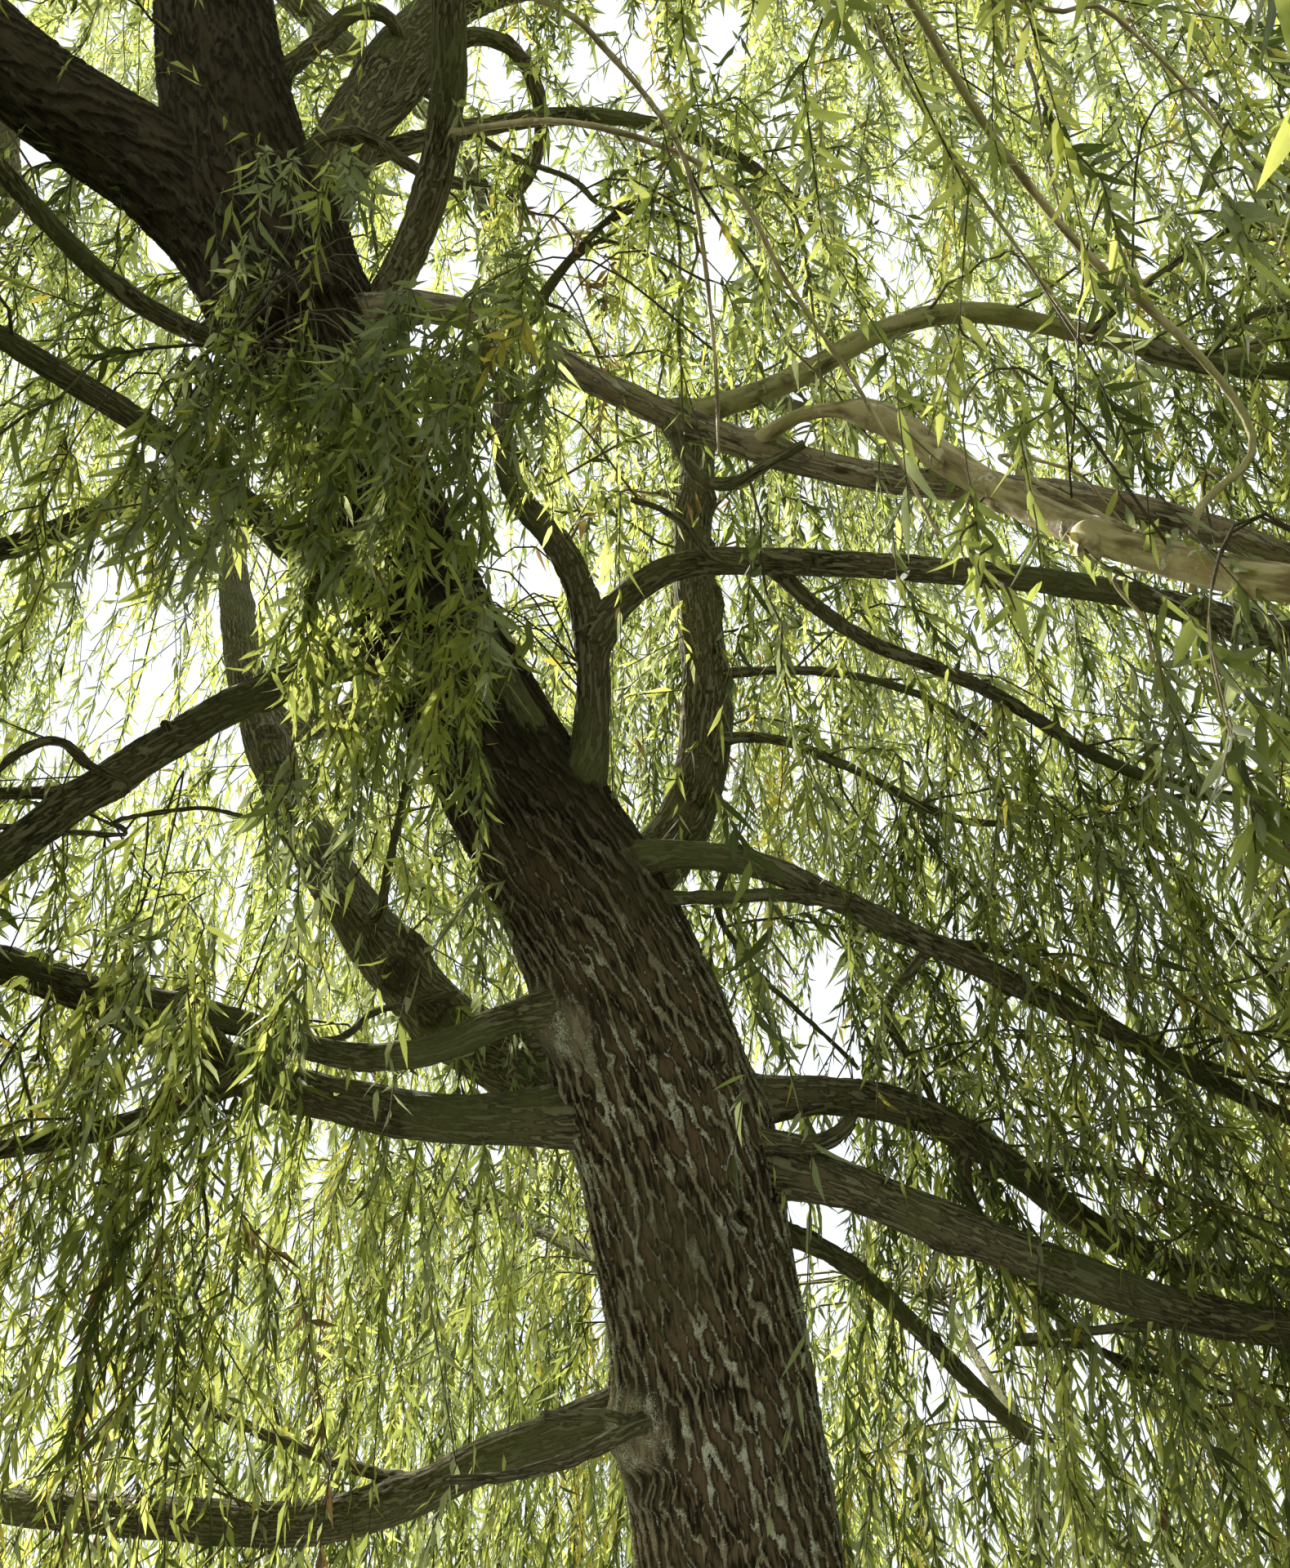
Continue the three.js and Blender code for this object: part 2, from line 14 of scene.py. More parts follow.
import bpy
import numpy as np
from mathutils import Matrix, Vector

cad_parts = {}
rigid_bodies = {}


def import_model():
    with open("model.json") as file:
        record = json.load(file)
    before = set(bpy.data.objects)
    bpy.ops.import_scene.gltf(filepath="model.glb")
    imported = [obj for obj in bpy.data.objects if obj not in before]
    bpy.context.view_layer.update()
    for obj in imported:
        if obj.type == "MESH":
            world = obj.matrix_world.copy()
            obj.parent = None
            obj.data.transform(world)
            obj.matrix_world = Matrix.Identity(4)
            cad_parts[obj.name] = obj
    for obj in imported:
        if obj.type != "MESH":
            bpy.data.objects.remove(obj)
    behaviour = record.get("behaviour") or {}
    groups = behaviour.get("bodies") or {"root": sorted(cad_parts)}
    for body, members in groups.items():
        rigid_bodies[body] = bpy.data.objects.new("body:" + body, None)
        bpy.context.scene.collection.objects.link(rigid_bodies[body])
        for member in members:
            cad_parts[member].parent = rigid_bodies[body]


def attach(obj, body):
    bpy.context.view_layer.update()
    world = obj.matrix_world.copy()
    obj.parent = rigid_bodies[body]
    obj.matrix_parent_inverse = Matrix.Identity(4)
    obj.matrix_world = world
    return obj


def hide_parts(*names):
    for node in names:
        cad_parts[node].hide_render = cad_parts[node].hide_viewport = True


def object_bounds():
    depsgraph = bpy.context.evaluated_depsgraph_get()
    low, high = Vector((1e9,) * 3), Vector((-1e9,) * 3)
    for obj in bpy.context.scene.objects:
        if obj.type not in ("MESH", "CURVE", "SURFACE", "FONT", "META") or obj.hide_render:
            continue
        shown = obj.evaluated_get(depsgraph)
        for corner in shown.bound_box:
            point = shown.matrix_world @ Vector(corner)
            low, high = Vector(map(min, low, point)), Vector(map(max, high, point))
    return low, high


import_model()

CAD_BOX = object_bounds()
BODY = "root"
LOG = logging.getLogger("willow")

Array = np.ndarray
Colour = tuple[float, float, float]
UP = np.array([0.0, 0.0, 1.0])
GOLDEN_ANGLE = math.radians(137.5)
CURVE_STEPS = 8


class BarkKind(Enum):
    """The kinds of bark that the limbs wear."""

    FURROWED = "furrowed"
    FISSURED = "fissured"
    MOTTLED = "mottled"
    OLIVE = "olive"
    SMOOTH = "smooth"


class Tint(Enum):
    """The colours that a spray's leaves may have."""

    FRESH = "fresh"
    GREEN = "green"
    # Dark leaves that stand for leaves in the crown's shade: painted shade.
    DEEP = "deep"
    SILVER = "silver"
    YELLOW = "yellow"
    DRY = "dry"


def unit(vectors: Array) -> Array:
    """Vectors scaled to length one along their last axis."""
    return vectors / np.maximum(np.linalg.norm(vectors, axis=-1, keepdims=True), 1e-9)


def smooth_step(values: Array) -> Array:
    """Values from 0 to 1 with flat ends."""
    held = np.clip(values, 0.0, 1.0)
    return held * held * (3.0 - 2.0 * held)


def mix(low: float, high: float, share: Any) -> Any:
    """The value at a share of the way from low to high."""
    return low + (high - low) * share


def along(values: Sequence[float], share: Any) -> Any:
    """The value at a share of a list whose entries are spread evenly from 0 to 1."""
    return np.interp(share, np.linspace(0.0, 1.0, len(values)), values)


def heading_vector(heading: Any, climb: Any) -> Array:
    """Unit vectors from headings, anticlockwise from +X, and climbs from level, both in degrees."""
    turn, rise = np.radians(heading), np.radians(climb)
    return np.stack([np.cos(rise) * np.cos(turn), np.cos(rise) * np.sin(turn), np.sin(rise)], axis=-1)


def bell(values: Array) -> Array:
    """A smooth hump, 1 at 0 and nearly gone 2 either side of it."""
    return np.exp(-values ** 2)


def squared(vectors: Array, ways: Array) -> Array:
    """Unit vectors turned square to unit ways."""
    return unit(vectors - ways * np.sum(vectors * ways, axis=-1, keepdims=True))


def between(share: Any, spread: Array, places: Array) -> Array:
    """Places interpolated at shares of the spread that they stand at."""
    return np.stack([np.interp(share, spread, places[:, axis]) for axis in range(3)], axis=-1)


def travelled(line: Array) -> Array:
    """How far along a line each of its points lies."""
    return np.concatenate([[0.0], np.cumsum(np.linalg.norm(np.diff(line, axis=0), axis=1))])


def even_curve(knots: Array, count: int) -> Array:
    """Points evenly spread along a smooth curve through knots.

    Args:
        knots: The points that it passes, (k, 3).
        count: How many points to give.

    Returns:
        The points, (count, 3).
    """
    padded = np.vstack([knots[:1] * 2 - knots[1:2], knots, knots[-1:] * 2 - knots[-2:-1]])
    before, start, end, after = (padded[i:len(padded) - 3 + i][:, None] for i in range(4))
    part = np.linspace(0.0, 1.0, CURVE_STEPS, endpoint=False)[None, :, None]
    lead, trail = (end - before) / 2, (after - start) / 2
    curve = ((2 * part ** 3 - 3 * part ** 2 + 1) * start + (part ** 3 - 2 * part ** 2 + part) * lead
             + (3 * part ** 2 - 2 * part ** 3) * end + (part ** 3 - part ** 2) * trail)
    curve = np.vstack([curve.reshape(-1, 3), knots[-1:]])
    travel = travelled(curve)
    return between(np.linspace(0.0, travel[-1], count), travel, curve)


class Noise:
    """Smooth gradient noise in space, the same on each run.

    A number added to the places gives another pattern of the same kind.
    """

    LATTICE = 256

    def __init__(self, seed: int) -> None:
        """Shuffles the lattice's gradients by the seed."""
        dice = np.random.default_rng(seed)
        self.order = dice.permutation(self.LATTICE)
        self.slopes = unit(dice.normal(size=(self.LATTICE, 3)))

    def at(self, points: Array) -> Array:
        """Noise at points.

        Args:
            points: Places in lattice cells, (n, 3).

        Returns:
            Values from about -0.7 to 0.7, (n,).
        """
        last = self.LATTICE - 1
        cell = np.floor(points).astype(int)
        inside = points - cell
        fade = inside ** 3 * (inside * (inside * 6 - 15) + 10)
        total = np.zeros(len(points))
        for corner in product((0, 1), repeat=3):
            place = cell + corner
            key = self.order[place[:, 0] & last]
            for axis in (1, 2):
                key = self.order[(key + place[:, axis]) & last]
            weight = np.prod(np.where(corner, fade, 1 - fade), axis=1)
            total += weight * np.einsum("ij,ij->i", self.slopes[key], inside - corner)
        return total


@dataclass(frozen=True)
class Viewpoint:
    """Where the tree is seen from: under the crown, looking up along +Y."""

    eye: tuple[float, float, float] = (-0.42, -4.5, 1.6)
    rise: float = 35.0
    wide: int = 1579
    high: int = 1920
    focal: float = 1579.0
    sensor: float = 36.0
    farthest: float = 200.0

    @property
    def axes(self) -> tuple[Array, Array, Array]:
        """The right, up and forward directions of the view."""
        rise = math.radians(self.rise)
        up = np.array([0.0, -math.sin(rise), math.cos(rise)])
        return np.array([1.0, 0.0, 0.0]), up, np.array([0.0, math.cos(rise), math.sin(rise)])

    def pixels(self, points: Array) -> tuple[Array, Array]:
        """Where points fall in the picture.

        Args:
            points: Places, (..., 3).

        Returns:
            Picture columns and rows, (..., 2), and depths along the view, (...).
        """
        right, up, ahead = self.axes
        away = np.asarray(points) - self.eye
        depth = away @ ahead
        safe = np.where(np.abs(depth) < 1e-6, 1e-6, depth)
        column = self.wide / 2 + self.focal * (away @ right) / safe
        row = self.high / 2 - self.focal * (away @ up) / safe
        return np.stack([column, row], axis=-1), depth

    def place(self, column: Any, row: Any, depth: Any) -> Array:
        """The place at a pixel and a depth along the view."""
        right, up, ahead = self.axes
        across = (np.asarray(column, float) - self.wide / 2)[..., None] / self.focal
        over = (self.high / 2 - np.asarray(row, float))[..., None] / self.focal
        return np.asarray(self.eye) + (ahead + right * across + up * over) * np.asarray(depth)[..., None]

    def build(self) -> None:
        """Makes the camera."""
        data = bpy.data.cameras.new("viewpoint")
        data.sensor_width = self.sensor
        data.lens = self.sensor * self.focal / self.high
        data.clip_end = self.farthest
        camera = bpy.data.objects.new("viewpoint", data)
        camera.location = self.eye
        camera.rotation_euler = (math.radians(90.0 + self.rise), 0.0, 0.0)
        bpy.context.scene.collection.objects.link(camera)
        bpy.context.scene.camera = camera


@dataclass(frozen=True)
class LimbSize:
    """A limb by its driving sizes.

    Headings and climbs are in degrees, and each list is spread evenly from the limb's foot to its tip.
    """

    name: str
    parent: str
    share: float
    length: float
    girth: tuple[float, ...]
    heading: tuple[float, ...]
    climb: tuple[float, ...]


TRUNK = LimbSize("trunk", "", 0, 5.94, (0.64, 0.58, 0.54, 0.505, 0.475, 0.37, 0.345, 0.4),
                 (-103, -107, -103, -111, -146, -130, -143), (90, 67, 57, 58, 50, 53, 58))

LIMBS = tuple(LimbSize(*row) for row in (
    ("leader", "trunk", 1, 3.65, (0.392, 0.33, 0.23, 0.12), (-120, -155, -280, -255), (60, 85, 80, 75)),
    ("bough_left_upper", "trunk", 0.93, 3.05, (0.3, 0.27, 0.2, 0.1), (-140, -160, -160, -170, -170),
     (50, 25, 50, 45, 65)),
    ("bough_upper_right", "trunk", 0.96, 3.3, (0.19, 0.165, 0.13, 0.07), (-60, -10, -5, -10, -20),
     (65, 80, 45, 35, 5)),
    ("bough_left_low", "trunk", 0.41, 3.9, (0.15, 0.12, 0.098, 0.06), (-175, -220, -200, -210, -210, -210),
     (-10, -15, 5, 5, 45, 10)),
    ("bough_left_mid", "trunk", 0.54, 3.85, (0.13, 0.112, 0.09, 0.055), (-170, -190, -185, -190, -180, -190),
     (-20, 15, 30, 10, 0, 5)),
    ("bough_left_slender", "trunk", 0.58, 2.75, (0.086, 0.062, 0.044, 0.034),
     (-130, -190, -170, -195, -175, -140, -140), (-10, -25, 20, 15, 20, 20, 10)),
    ("stem_rear_left", "trunk", 0.55, 4.75, (0.215, 0.17, 0.13, 0.075), (140, 170, 160, 150, 115, 120),
     (5, 50, 60, 70, 60, 45)),
    ("stem_rear_mid", "stem_rear_left", 0.5, 2.15, (0.11, 0.06), (60, 80, 85, 80), (20, 60, 55, 50)),
    ("bough_rear_low", "trunk", 0.33, 3.1, (0.11, 0.06), (90, 100, 115, 125), (55, 30, 25, 25)),
    ("bough_right_thin", "trunk", 0.49, 2.85, (0.058, 0.034), (20, 50, 55, 90, 85), (0, -20, -15, 30, 30)),
    ("bough_right_mid", "trunk", 0.51, 2.85, (0.125, 0.104, 0.09, 0.06), (-5, -5, 15, 5, 5, 0),
     (0, -25, -15, 0, 15, 30)),
    ("bough_right_broken", "trunk", 0.53, 2.1, (0.108, 0.09, 0.078), (-10, 20, 30, 40, 35, 20),
     (10, 10, -15, -20, -5, 0)),
    ("bough_right_upper", "trunk", 0.64, 3.65, (0.076, 0.058, 0.044, 0.034), (-40, 15, 30, 30, 40, 50, 55),
     (10, -20, -10, -10, 0, 10, 25)),
    ("stem_rear_right", "trunk", 0.64, 3.45, (0.185, 0.15, 0.11, 0.07), (75, -20, -160, 40, 70, 50),
     (15, 75, 85, 85, 50, 40)),
    ("stem_inner", "trunk", 0.67, 1.55, (0.098, 0.08, 0.048), (-35, -80, -110, -175, -130, -40),
     (15, 55, 60, 50, 85, 65)),
    ("stem_broken", "trunk", 0.69, 0.7, (0.08, 0.058), (-50, -120, -150, -110), (15, 40, 55, 70)),
    ("bough_right_dark", "stem_inner", 0.35, 2.55, (0.076, 0.06, 0.042), (-45, -10, -10, -5, 0, 10, 20),
     (50, -10, -15, -15, -30, 5, 15)),
    ("bough_right_fork", "bough_right_dark", 0.22, 2.55, (0.042, 0.03), (50, 25, 35, 25, 35, 40),
     (-15, 0, -10, 5, 15, 25)),
    ("bough_left_dark", "trunk", 0.77, 3.25, (0.096, 0.078, 0.052), (175, 200, 210, 220, 220, 220),
     (-10, -50, -60, 5, 5, 10)),
    ("bough_left_front", "trunk", 0.8, 2.25, (0.09, 0.058, 0.038), (-165, -140, -145, -150, -160, -150),
     (-10, 25, 10, 15, 30, 20)),
    ("bough_left_side", "bough_left_front", 0.28, 1.6, (0.066, 0.04), (160, 160, 165, 175),
     (-15, -5, 30, 35)),
    ("bough_left_thin", "trunk", 0.92, 2.8, (0.058, 0.044, 0.036), (-160, -120, -105, -115, -100),
     (-25, 5, -5, -10, 0)),
    ("bough_front_low", "trunk", 0.9, 3.95, (0.104, 0.084, 0.056), (-30, -85, -80, -80, -85),
     (60, 15, -20, -30, -30)),
    ("bough_right_long", "trunk", 0.93, 3.95, (0.088, 0.072, 0.066, 0.048), (-25, 5, 0, -15, 15, -40, -35),
     (15, -40, -30, -20, -15, -15, 5)),
    ("bough_right_near", "bough_right_long", 0.36, 2.8, (0.07, 0.062, 0.046), (-65, -15, -55, -55, -60, -55),
     (-10, -60, -55, -45, 20, 5)),
    ("bough_right_high", "bough_right_long", 0.3, 2.25, (0.064, 0.058, 0.044), (15, -10, 20, 20, 20),
     (30, 35, 10, 10, 55)),
    ("bough_front_high", "leader", 0.25, 1.9, (0.12, 0.064), (-90, -70, -75, -80), (60, 40, 30, 10)),
    ("bough_rear_high", "leader", 0.38, 2.45, (0.12, 0.06), (75, 70, 70, 85), (35, 40, 45, 20)),
    ("bough_left_high", "bough_left_upper", 0.42, 2.35, (0.13, 0.064), (120, 125, 120, 135),
     (45, 40, 40, 40)),
    ("bough_right_top", "bough_upper_right", 0.45, 2.3, (0.096, 0.054), (20, 20, 30, 45), (45, 45, 45, 45)),
))

# Thin branches that the solids leave out, all with dull bark.
DULL_BRANCHES = tuple(LimbSize(*row) for row in (
    ("left_mid_second", "bough_left_mid", 0.3, 1.35, (0.062, 0.05, 0.034), (-170, -195, -155, -175),
     (-40, -5, -20, -15)),
    ("right_upper_second", "trunk", 0.63, 0.7, (0.042, 0.03), (-25, -20, -5, -5), (-5, -10, 0, -20)),
    ("cross_branch", "bough_left_thin", 0.05, 0.85, (0.034, 0.026), (10, -5, 0, 35), (-20, -25, -30, -25)),
    ("hanging_dark", "bough_upper_right", 0.17, 1.15, (0.07, 0.05, 0.034), (-5, -40, 60, 150),
     (35, 55, -35, -40)),
    ("hanging_second", "leader", 0.1, 1.0, (0.06, 0.05, 0.03), (-15, -20, 195), (50, 50, -95)),
    ("crown_branch", "trunk", 0.97, 0.95, (0.05, 0.03), (-105, -40, 35, 15), (55, 60, -20, 35)),
    ("upper_branch", "bough_upper_right", 0.12, 2.1, (0.07, 0.045, 0.03), (20, -10, 35, 70), (70, 0, 15, 40)),
    ("bent_twig", "bough_right_long", 0.3, 0.5, (0.046, 0.034, 0.02), (60, 10, -35, -30), (-75, -65, 5, 10)),
    ("rear_right_low", "stem_rear_right", 0.25, 1.0, (0.034, 0.02), (-40, -5, 25, 10), (-5, -30, -20, 10)),
    ("rear_right_mid", "stem_rear_right", 0.32, 1.0, (0.032, 0.02), (-35, -15, 20, 45), (-15, -15, -10, -10)),
    ("broken_side", "bough_right_broken", 0.43, 0.6, (0.044, 0.024), (105, 30, 50), (-60, -35, -25)),
    ("loop_branch", "trunk", 0.52, 0.5, (0.07, 0.05, 0.04), (-20, -20, -5, 5), (10, -15, -10, 55)),
    ("left_low_second", "bough_left_low", 0.19, 1.05, (0.04, 0.024), (135, 155, 175, 175), (-5, 15, 20, 20)),
))


@dataclass(frozen=True)
class Route:
    """A thin branch or shoot by what it grows on and the pixels of the picture that it passes.

    The girth is in metres at its foot and tip, and the depths are metres along the view at the first and
    the last pixel.
    """

    name: str
    parent: str
    share: float
    girth: tuple[float, float]
    depths: tuple[float, float]
    pixels: tuple[tuple[float, float], ...]


PALE_ROUTES = tuple(Route(*row) for row in (
    ("shoot_long", "bough_front_low", 0.42, (0.024, 0.014), (2.7, 2.25), ((1040, -70), (1112, 0),
     (1208, 157), (1321, 301), (1452, 419), (1522, 506), (1531, 560), (1487, 602), (1461, 640), (1459, 724))),
    ("shoot_mid", "bough_front_low", 0.2, (0.019, 0.008), (3.1, 2.6),
     ((700, 150), (880, 215), (963, 345), (1051, 476), (1121, 602), (1148, 654))),
    ("shoot_hanging", "bough_front_low", 0.3, (0.02, 0.007), (3.0, 2.8),
     ((681, 9), (742, 61), (824, 166), (854, 262), (875, 436), (880, 558))),
    ("shoot_high", "bough_front_low", 0.46, (0.016, 0.007), (2.5, 2.6),
     ((1180, -50), (1286, 13), (1347, 9), (1435, 87), (1513, 183), (1579, 330))),
    ("shoot_beside", "bough_front_low", 0.4, (0.013, 0.006), (2.7, 2.5),
     ((1000, -40), (1090, 70), (1155, 175), (1250, 310), (1330, 420))),
    ("shoot_upright", "bough_front_low", 0.44, (0.011, 0.005), (2.6, 2.5),
     ((1190, -30), (1252, 52), (1280, 180), (1300, 270))),
    ("shoot_arch", "bough_right_near", 0.5, (0.011, 0.005), (2.6, 2.4),
     ((1225, 563), (1312, 576), (1356, 620), (1391, 663))),
    ("shoot_forked", "bough_right_near", 0.62, (0.012, 0.006), (2.4, 2.3),
     ((1375, 700), (1400, 760), (1412, 812))),
    ("elbow_stub", "bough_right_near", 0.4, (0.056, 0.044), (2.41, 2.35), ((1337, 658), (1335, 674))),
    ("near_knot", "bough_right_near", 0.235, (0.03, 0.024), (2.74, 2.69), ((1150, 560), (1147, 570))),
))
DULL_ROUTES = tuple(Route(*row) for row in (
    ("olive_upper", "bough_right_high", 0.62, (0.024, 0.016), (3.6, 3.3),
     ((1321, 419), (1391, 358), (1478, 297), (1640, 200))),
    ("olive_lower", "bough_right_high", 0.78, (0.022, 0.016), (3.8, 3.5),
     ((1470, 440), (1504, 410), (1539, 384), (1620, 372))),
    ("olive_level", "bough_right_high", 0.72, (0.052, 0.046), (3.8, 3.6),
     ((1430, 436), (1487, 449), (1579, 455), (1660, 462))),
    ("dark_side", "bough_right_dark", 0.26, (0.028, 0.014), (3.3, 3.2),
     ((880, 684), (841, 646), (806, 622), (772, 612))),
    ("cut_stub", "bough_right_dark", 0.86, (0.05, 0.044), (2.9, 2.6),
     ((1440, 738), (1480, 752), (1517, 777))),
    ("dark_arch", "bough_left_dark", 0.74, (0.045, 0.02), (3.05, 2.9),
     ((112, 968), (104, 935), (74, 908), (35, 915), (-30, 960))),
    ("dark_side_left", "bough_left_dark", 0.8, (0.022, 0.01), (3.0, 3.1),
     ((95, 1020), (140, 1004), (244, 990), (300, 1000))),
    ("rear_left_side", "stem_rear_left", 0.36, (0.036, 0.02), (3.9, 3.9),
     ((454, 1126), (476, 1056), (497, 960), (505, 900))),
    ("mid_fork", "bough_left_mid", 0.42, (0.034, 0.016), (3.4, 3.5),
     ((384, 1275), (454, 1241), (489, 1230), (560, 1215))),
    ("mid_dead", "bough_left_mid", 0.62, (0.016, 0.008), (3.4, 3.3),
     ((215, 1290), (244, 1431), (253, 1527), (218, 1606))),
    ("brown_second", "bough_right_upper", 0.3, (0.03, 0.018), (3.5, 3.7),
     ((1042, 1130), (1121, 1148), (1243, 1169), (1313, 1213), (1417, 1283), (1620, 1345))),
    ("olive_cross", "bough_right_upper", 0.28, (0.028, 0.018), (3.6, 3.8),
     ((1086, 1239), (1129, 1318), (1164, 1396), (1217, 1484))),
    ("tan_cross", "bough_right_upper", 0.12, (0.022, 0.012), (3.6, 3.8),
     ((880, 1120), (933, 1196), (1007, 1265), (1051, 1309))),
    ("broken_twig", "bough_right_broken", 0.5, (0.022, 0.01), (3.6, 3.5),
     ((1200, 1440), (1234, 1436), (1347, 1431), (1372, 1444))),
    ("right_hanging", "bough_right_fork", 0.7, (0.02, 0.01), (3.8, 3.6),
     ((1400, 986), (1452, 1082), (1504, 1143), (1579, 1222), (1640, 1300))),
    ("low_level", "bough_right_mid", 0.5, (0.026, 0.014), (3.4, 3.6),
     ((1234, 1641), (1330, 1649), (1426, 1684), (1579, 1728))),
    ("low_cross", "bough_right_mid", 0.42, (0.026, 0.012), (3.4, 3.5),
     ((1265, 1572), (1330, 1641), (1400, 1690), (1513, 1763))),
    ("upper_dark", "bough_upper_right", 0.3, (0.028, 0.012), (4.0, 3.9),
     ((611, 183), (698, 218), (741, 253), (830, 262))),
    ("twig_before_fork", "bough_left_thin", 0.12, (0.011, 0.005), (3.2, 2.9),
     ((332, 345), (288, 410), (262, 454), (209, 523))),
    ("dead_branch", "trunk", 0.4, (0.06, 0.018), (3.12, 2.98),
     ((790, 1742), (745, 1765), (690, 1790), (620, 1808), (552, 1812))),
    ("peg", "trunk", 0.4, (0.032, 0.026), (3.12, 3.04), ((775, 1738), (739, 1733), (666, 1733))),
    ("left_spur", "bough_left_dark", 0.24, (0.034, 0.018), (3.2, 3.17), ((208, 903), (201, 884))),
))
KIND_OF_LIMB = {"trunk": BarkKind.FURROWED, "leader": BarkKind.FURROWED,
                "bough_left_upper": BarkKind.FURROWED, "bough_right_near": BarkKind.SMOOTH,
                "bough_right_long": BarkKind.MOTTLED, "bough_right_high": BarkKind.OLIVE}
# Limbs that narrow towards the foot: the shares that they do it between, and what is left of the girth.
NARROW_FOOT = {"bough_right_near": (0.1, 0.15, 0.5), "bough_left_low": (0.1, 0.4, 0.72)}
BROKEN_LIMBS = ("bough_right_broken", "stem_broken", "dead_branch", "loop_branch")
BARE_LIMBS = ("stem_broken", "dead_branch", "loop_branch", "cut_stub", "peg", "elbow_stub", "near_knot",
              "left_spur")
LEAFY_FROM = {"trunk": 0.62, "leader": 0.05}
FAR_LIMBS = ("leader", "bough_left_upper")


@dataclass(frozen=True)
class Swell:
    """The flare at the foot of the trunk and the collars where limbs leave it."""

    flare: float = 0.62
    flare_height: float = 0.26
    lobes: int = 5
    lobe_depth: float = 0.3
    lobe_turn: float = 0.5
    collar: float = 0.45
    collar_reach: float = 1.3
    boss: float = 0.42
    boss_spread: float = 1.35
    knot_gap: float = 0.42
    knot_reach: float = 0.62
    knot_rise: float = 0.36

    def at_foot(self, height: Array, angle: Array) -> Array:
        """Times the plain radius at a height and angle of the trunk."""
        fade = np.exp(-height / self.flare_height)
        lobe = 1.0 + self.lobe_depth * np.cos(self.lobes * angle + self.lobe_turn)
        return 1.0 + self.flare * fade * lobe

    def at_collar(self, past: Array, radius: float) -> Array:
        """Times the plain radius at a distance past the parent's surface."""
        return 1.0 + self.collar * np.exp(-np.maximum(past, 0.0) / (self.collar_reach * radius))


class Limb:
    """A limb grown from its sizes: its centre line, directions and girth."""

    STEPS = 60
    SEAM = 0.0003

    def __init__(self, size: LimbSize, parent: "Limb | None") -> None:
        """Steps off the centre line from a point of the parent's.

        Args:
            size: The limb's driving sizes.
            parent: The limb that it leaves, or None for the trunk.
        """
        self.size = size
        self.parent = parent
        self.buried = 0.0
        foot = np.zeros(3)
        if parent is not None:
            foot = parent.point(size.share)
            self.buried = parent.radius(size.share)
            if size.share == 1:
                foot = foot + parent.direction(1.0) * self.SEAM
                self.buried *= -2.0
        self.foot: Array = foot
        self.points = self.line(self.STEPS)

    @property
    def name(self) -> str:
        """The limb's name."""
        return self.size.name

    def direction(self, share: Any) -> Array:
        """Unit directions at shares of the length."""
        return heading_vector(along(self.size.heading, share), along(self.size.climb, share))

    def line(self, steps: int) -> Array:
        """The centre line stepped off from the foot, (steps + 1, 3)."""
        middles = (np.arange(steps) + 0.5) / steps
        walk = np.cumsum(self.direction(middles) * self.size.length / steps, axis=0)
        return np.vstack([self.foot, self.foot + walk])

    def point(self, share: Any) -> Array:
        """Places on the centre line at shares of the length."""
        return between(share, np.linspace(0.0, 1.0, len(self.points)), self.points)

    def radius(self, share: Any) -> Any:
        """Radii without flare or collar at shares of the length."""
        return along(self.size.girth, share) / 2.0


class RoutedLimb(Limb):
    """A thin branch that leaves its parent and then passes pixels of the picture."""

    def __init__(self, route: Route, parent: Limb, view: Viewpoint) -> None:
        """Runs a smooth curve from the parent through the route's places.

        Args:
            route: The branch's route.
            parent: The limb that it leaves.
            view: Where the picture is seen from.
        """
        self.parent = parent
        self.foot = parent.point(route.share)
        columns, rows = np.array(route.pixels).T
        knots = view.place(columns, rows, along(route.depths, np.linspace(0.0, 1.0, len(rows))))
        self.points = even_curve(np.vstack([self.foot, knots]), self.STEPS + 1)
        length = float(np.linalg.norm(np.diff(self.points, axis=0), axis=1).sum())
        self.size = LimbSize(route.name, route.parent, route.share, length, route.girth, (), ())
        self.buried = parent.radius(route.share)

    def direction(self, share: Any) -> Array:
        """Unit directions at shares of the length."""
        ways = np.gradient(self.points, axis=0)
        return unit(between(share, np.linspace(0.0, 1.0, len(ways)), ways))

    def line(self, steps: int) -> Array:
        """The centre line in even steps, (steps + 1, 3)."""
        return self.point(np.linspace(0.0, 1.0, steps + 1))


def across_frames(directions: Array) -> tuple[Array, Array]:
    """Two directions square to a line at each of its points, turned as little as possible along it."""
    across = np.zeros_like(directions)
    held = np.cross((0.0, 1.0, 0.0), directions[0])
    for index, direction in enumerate(directions):
        held = held - direction * held.dot(direction)
        held = held / np.linalg.norm(held)
        across[index] = held
    return across, np.cross(directions, across)


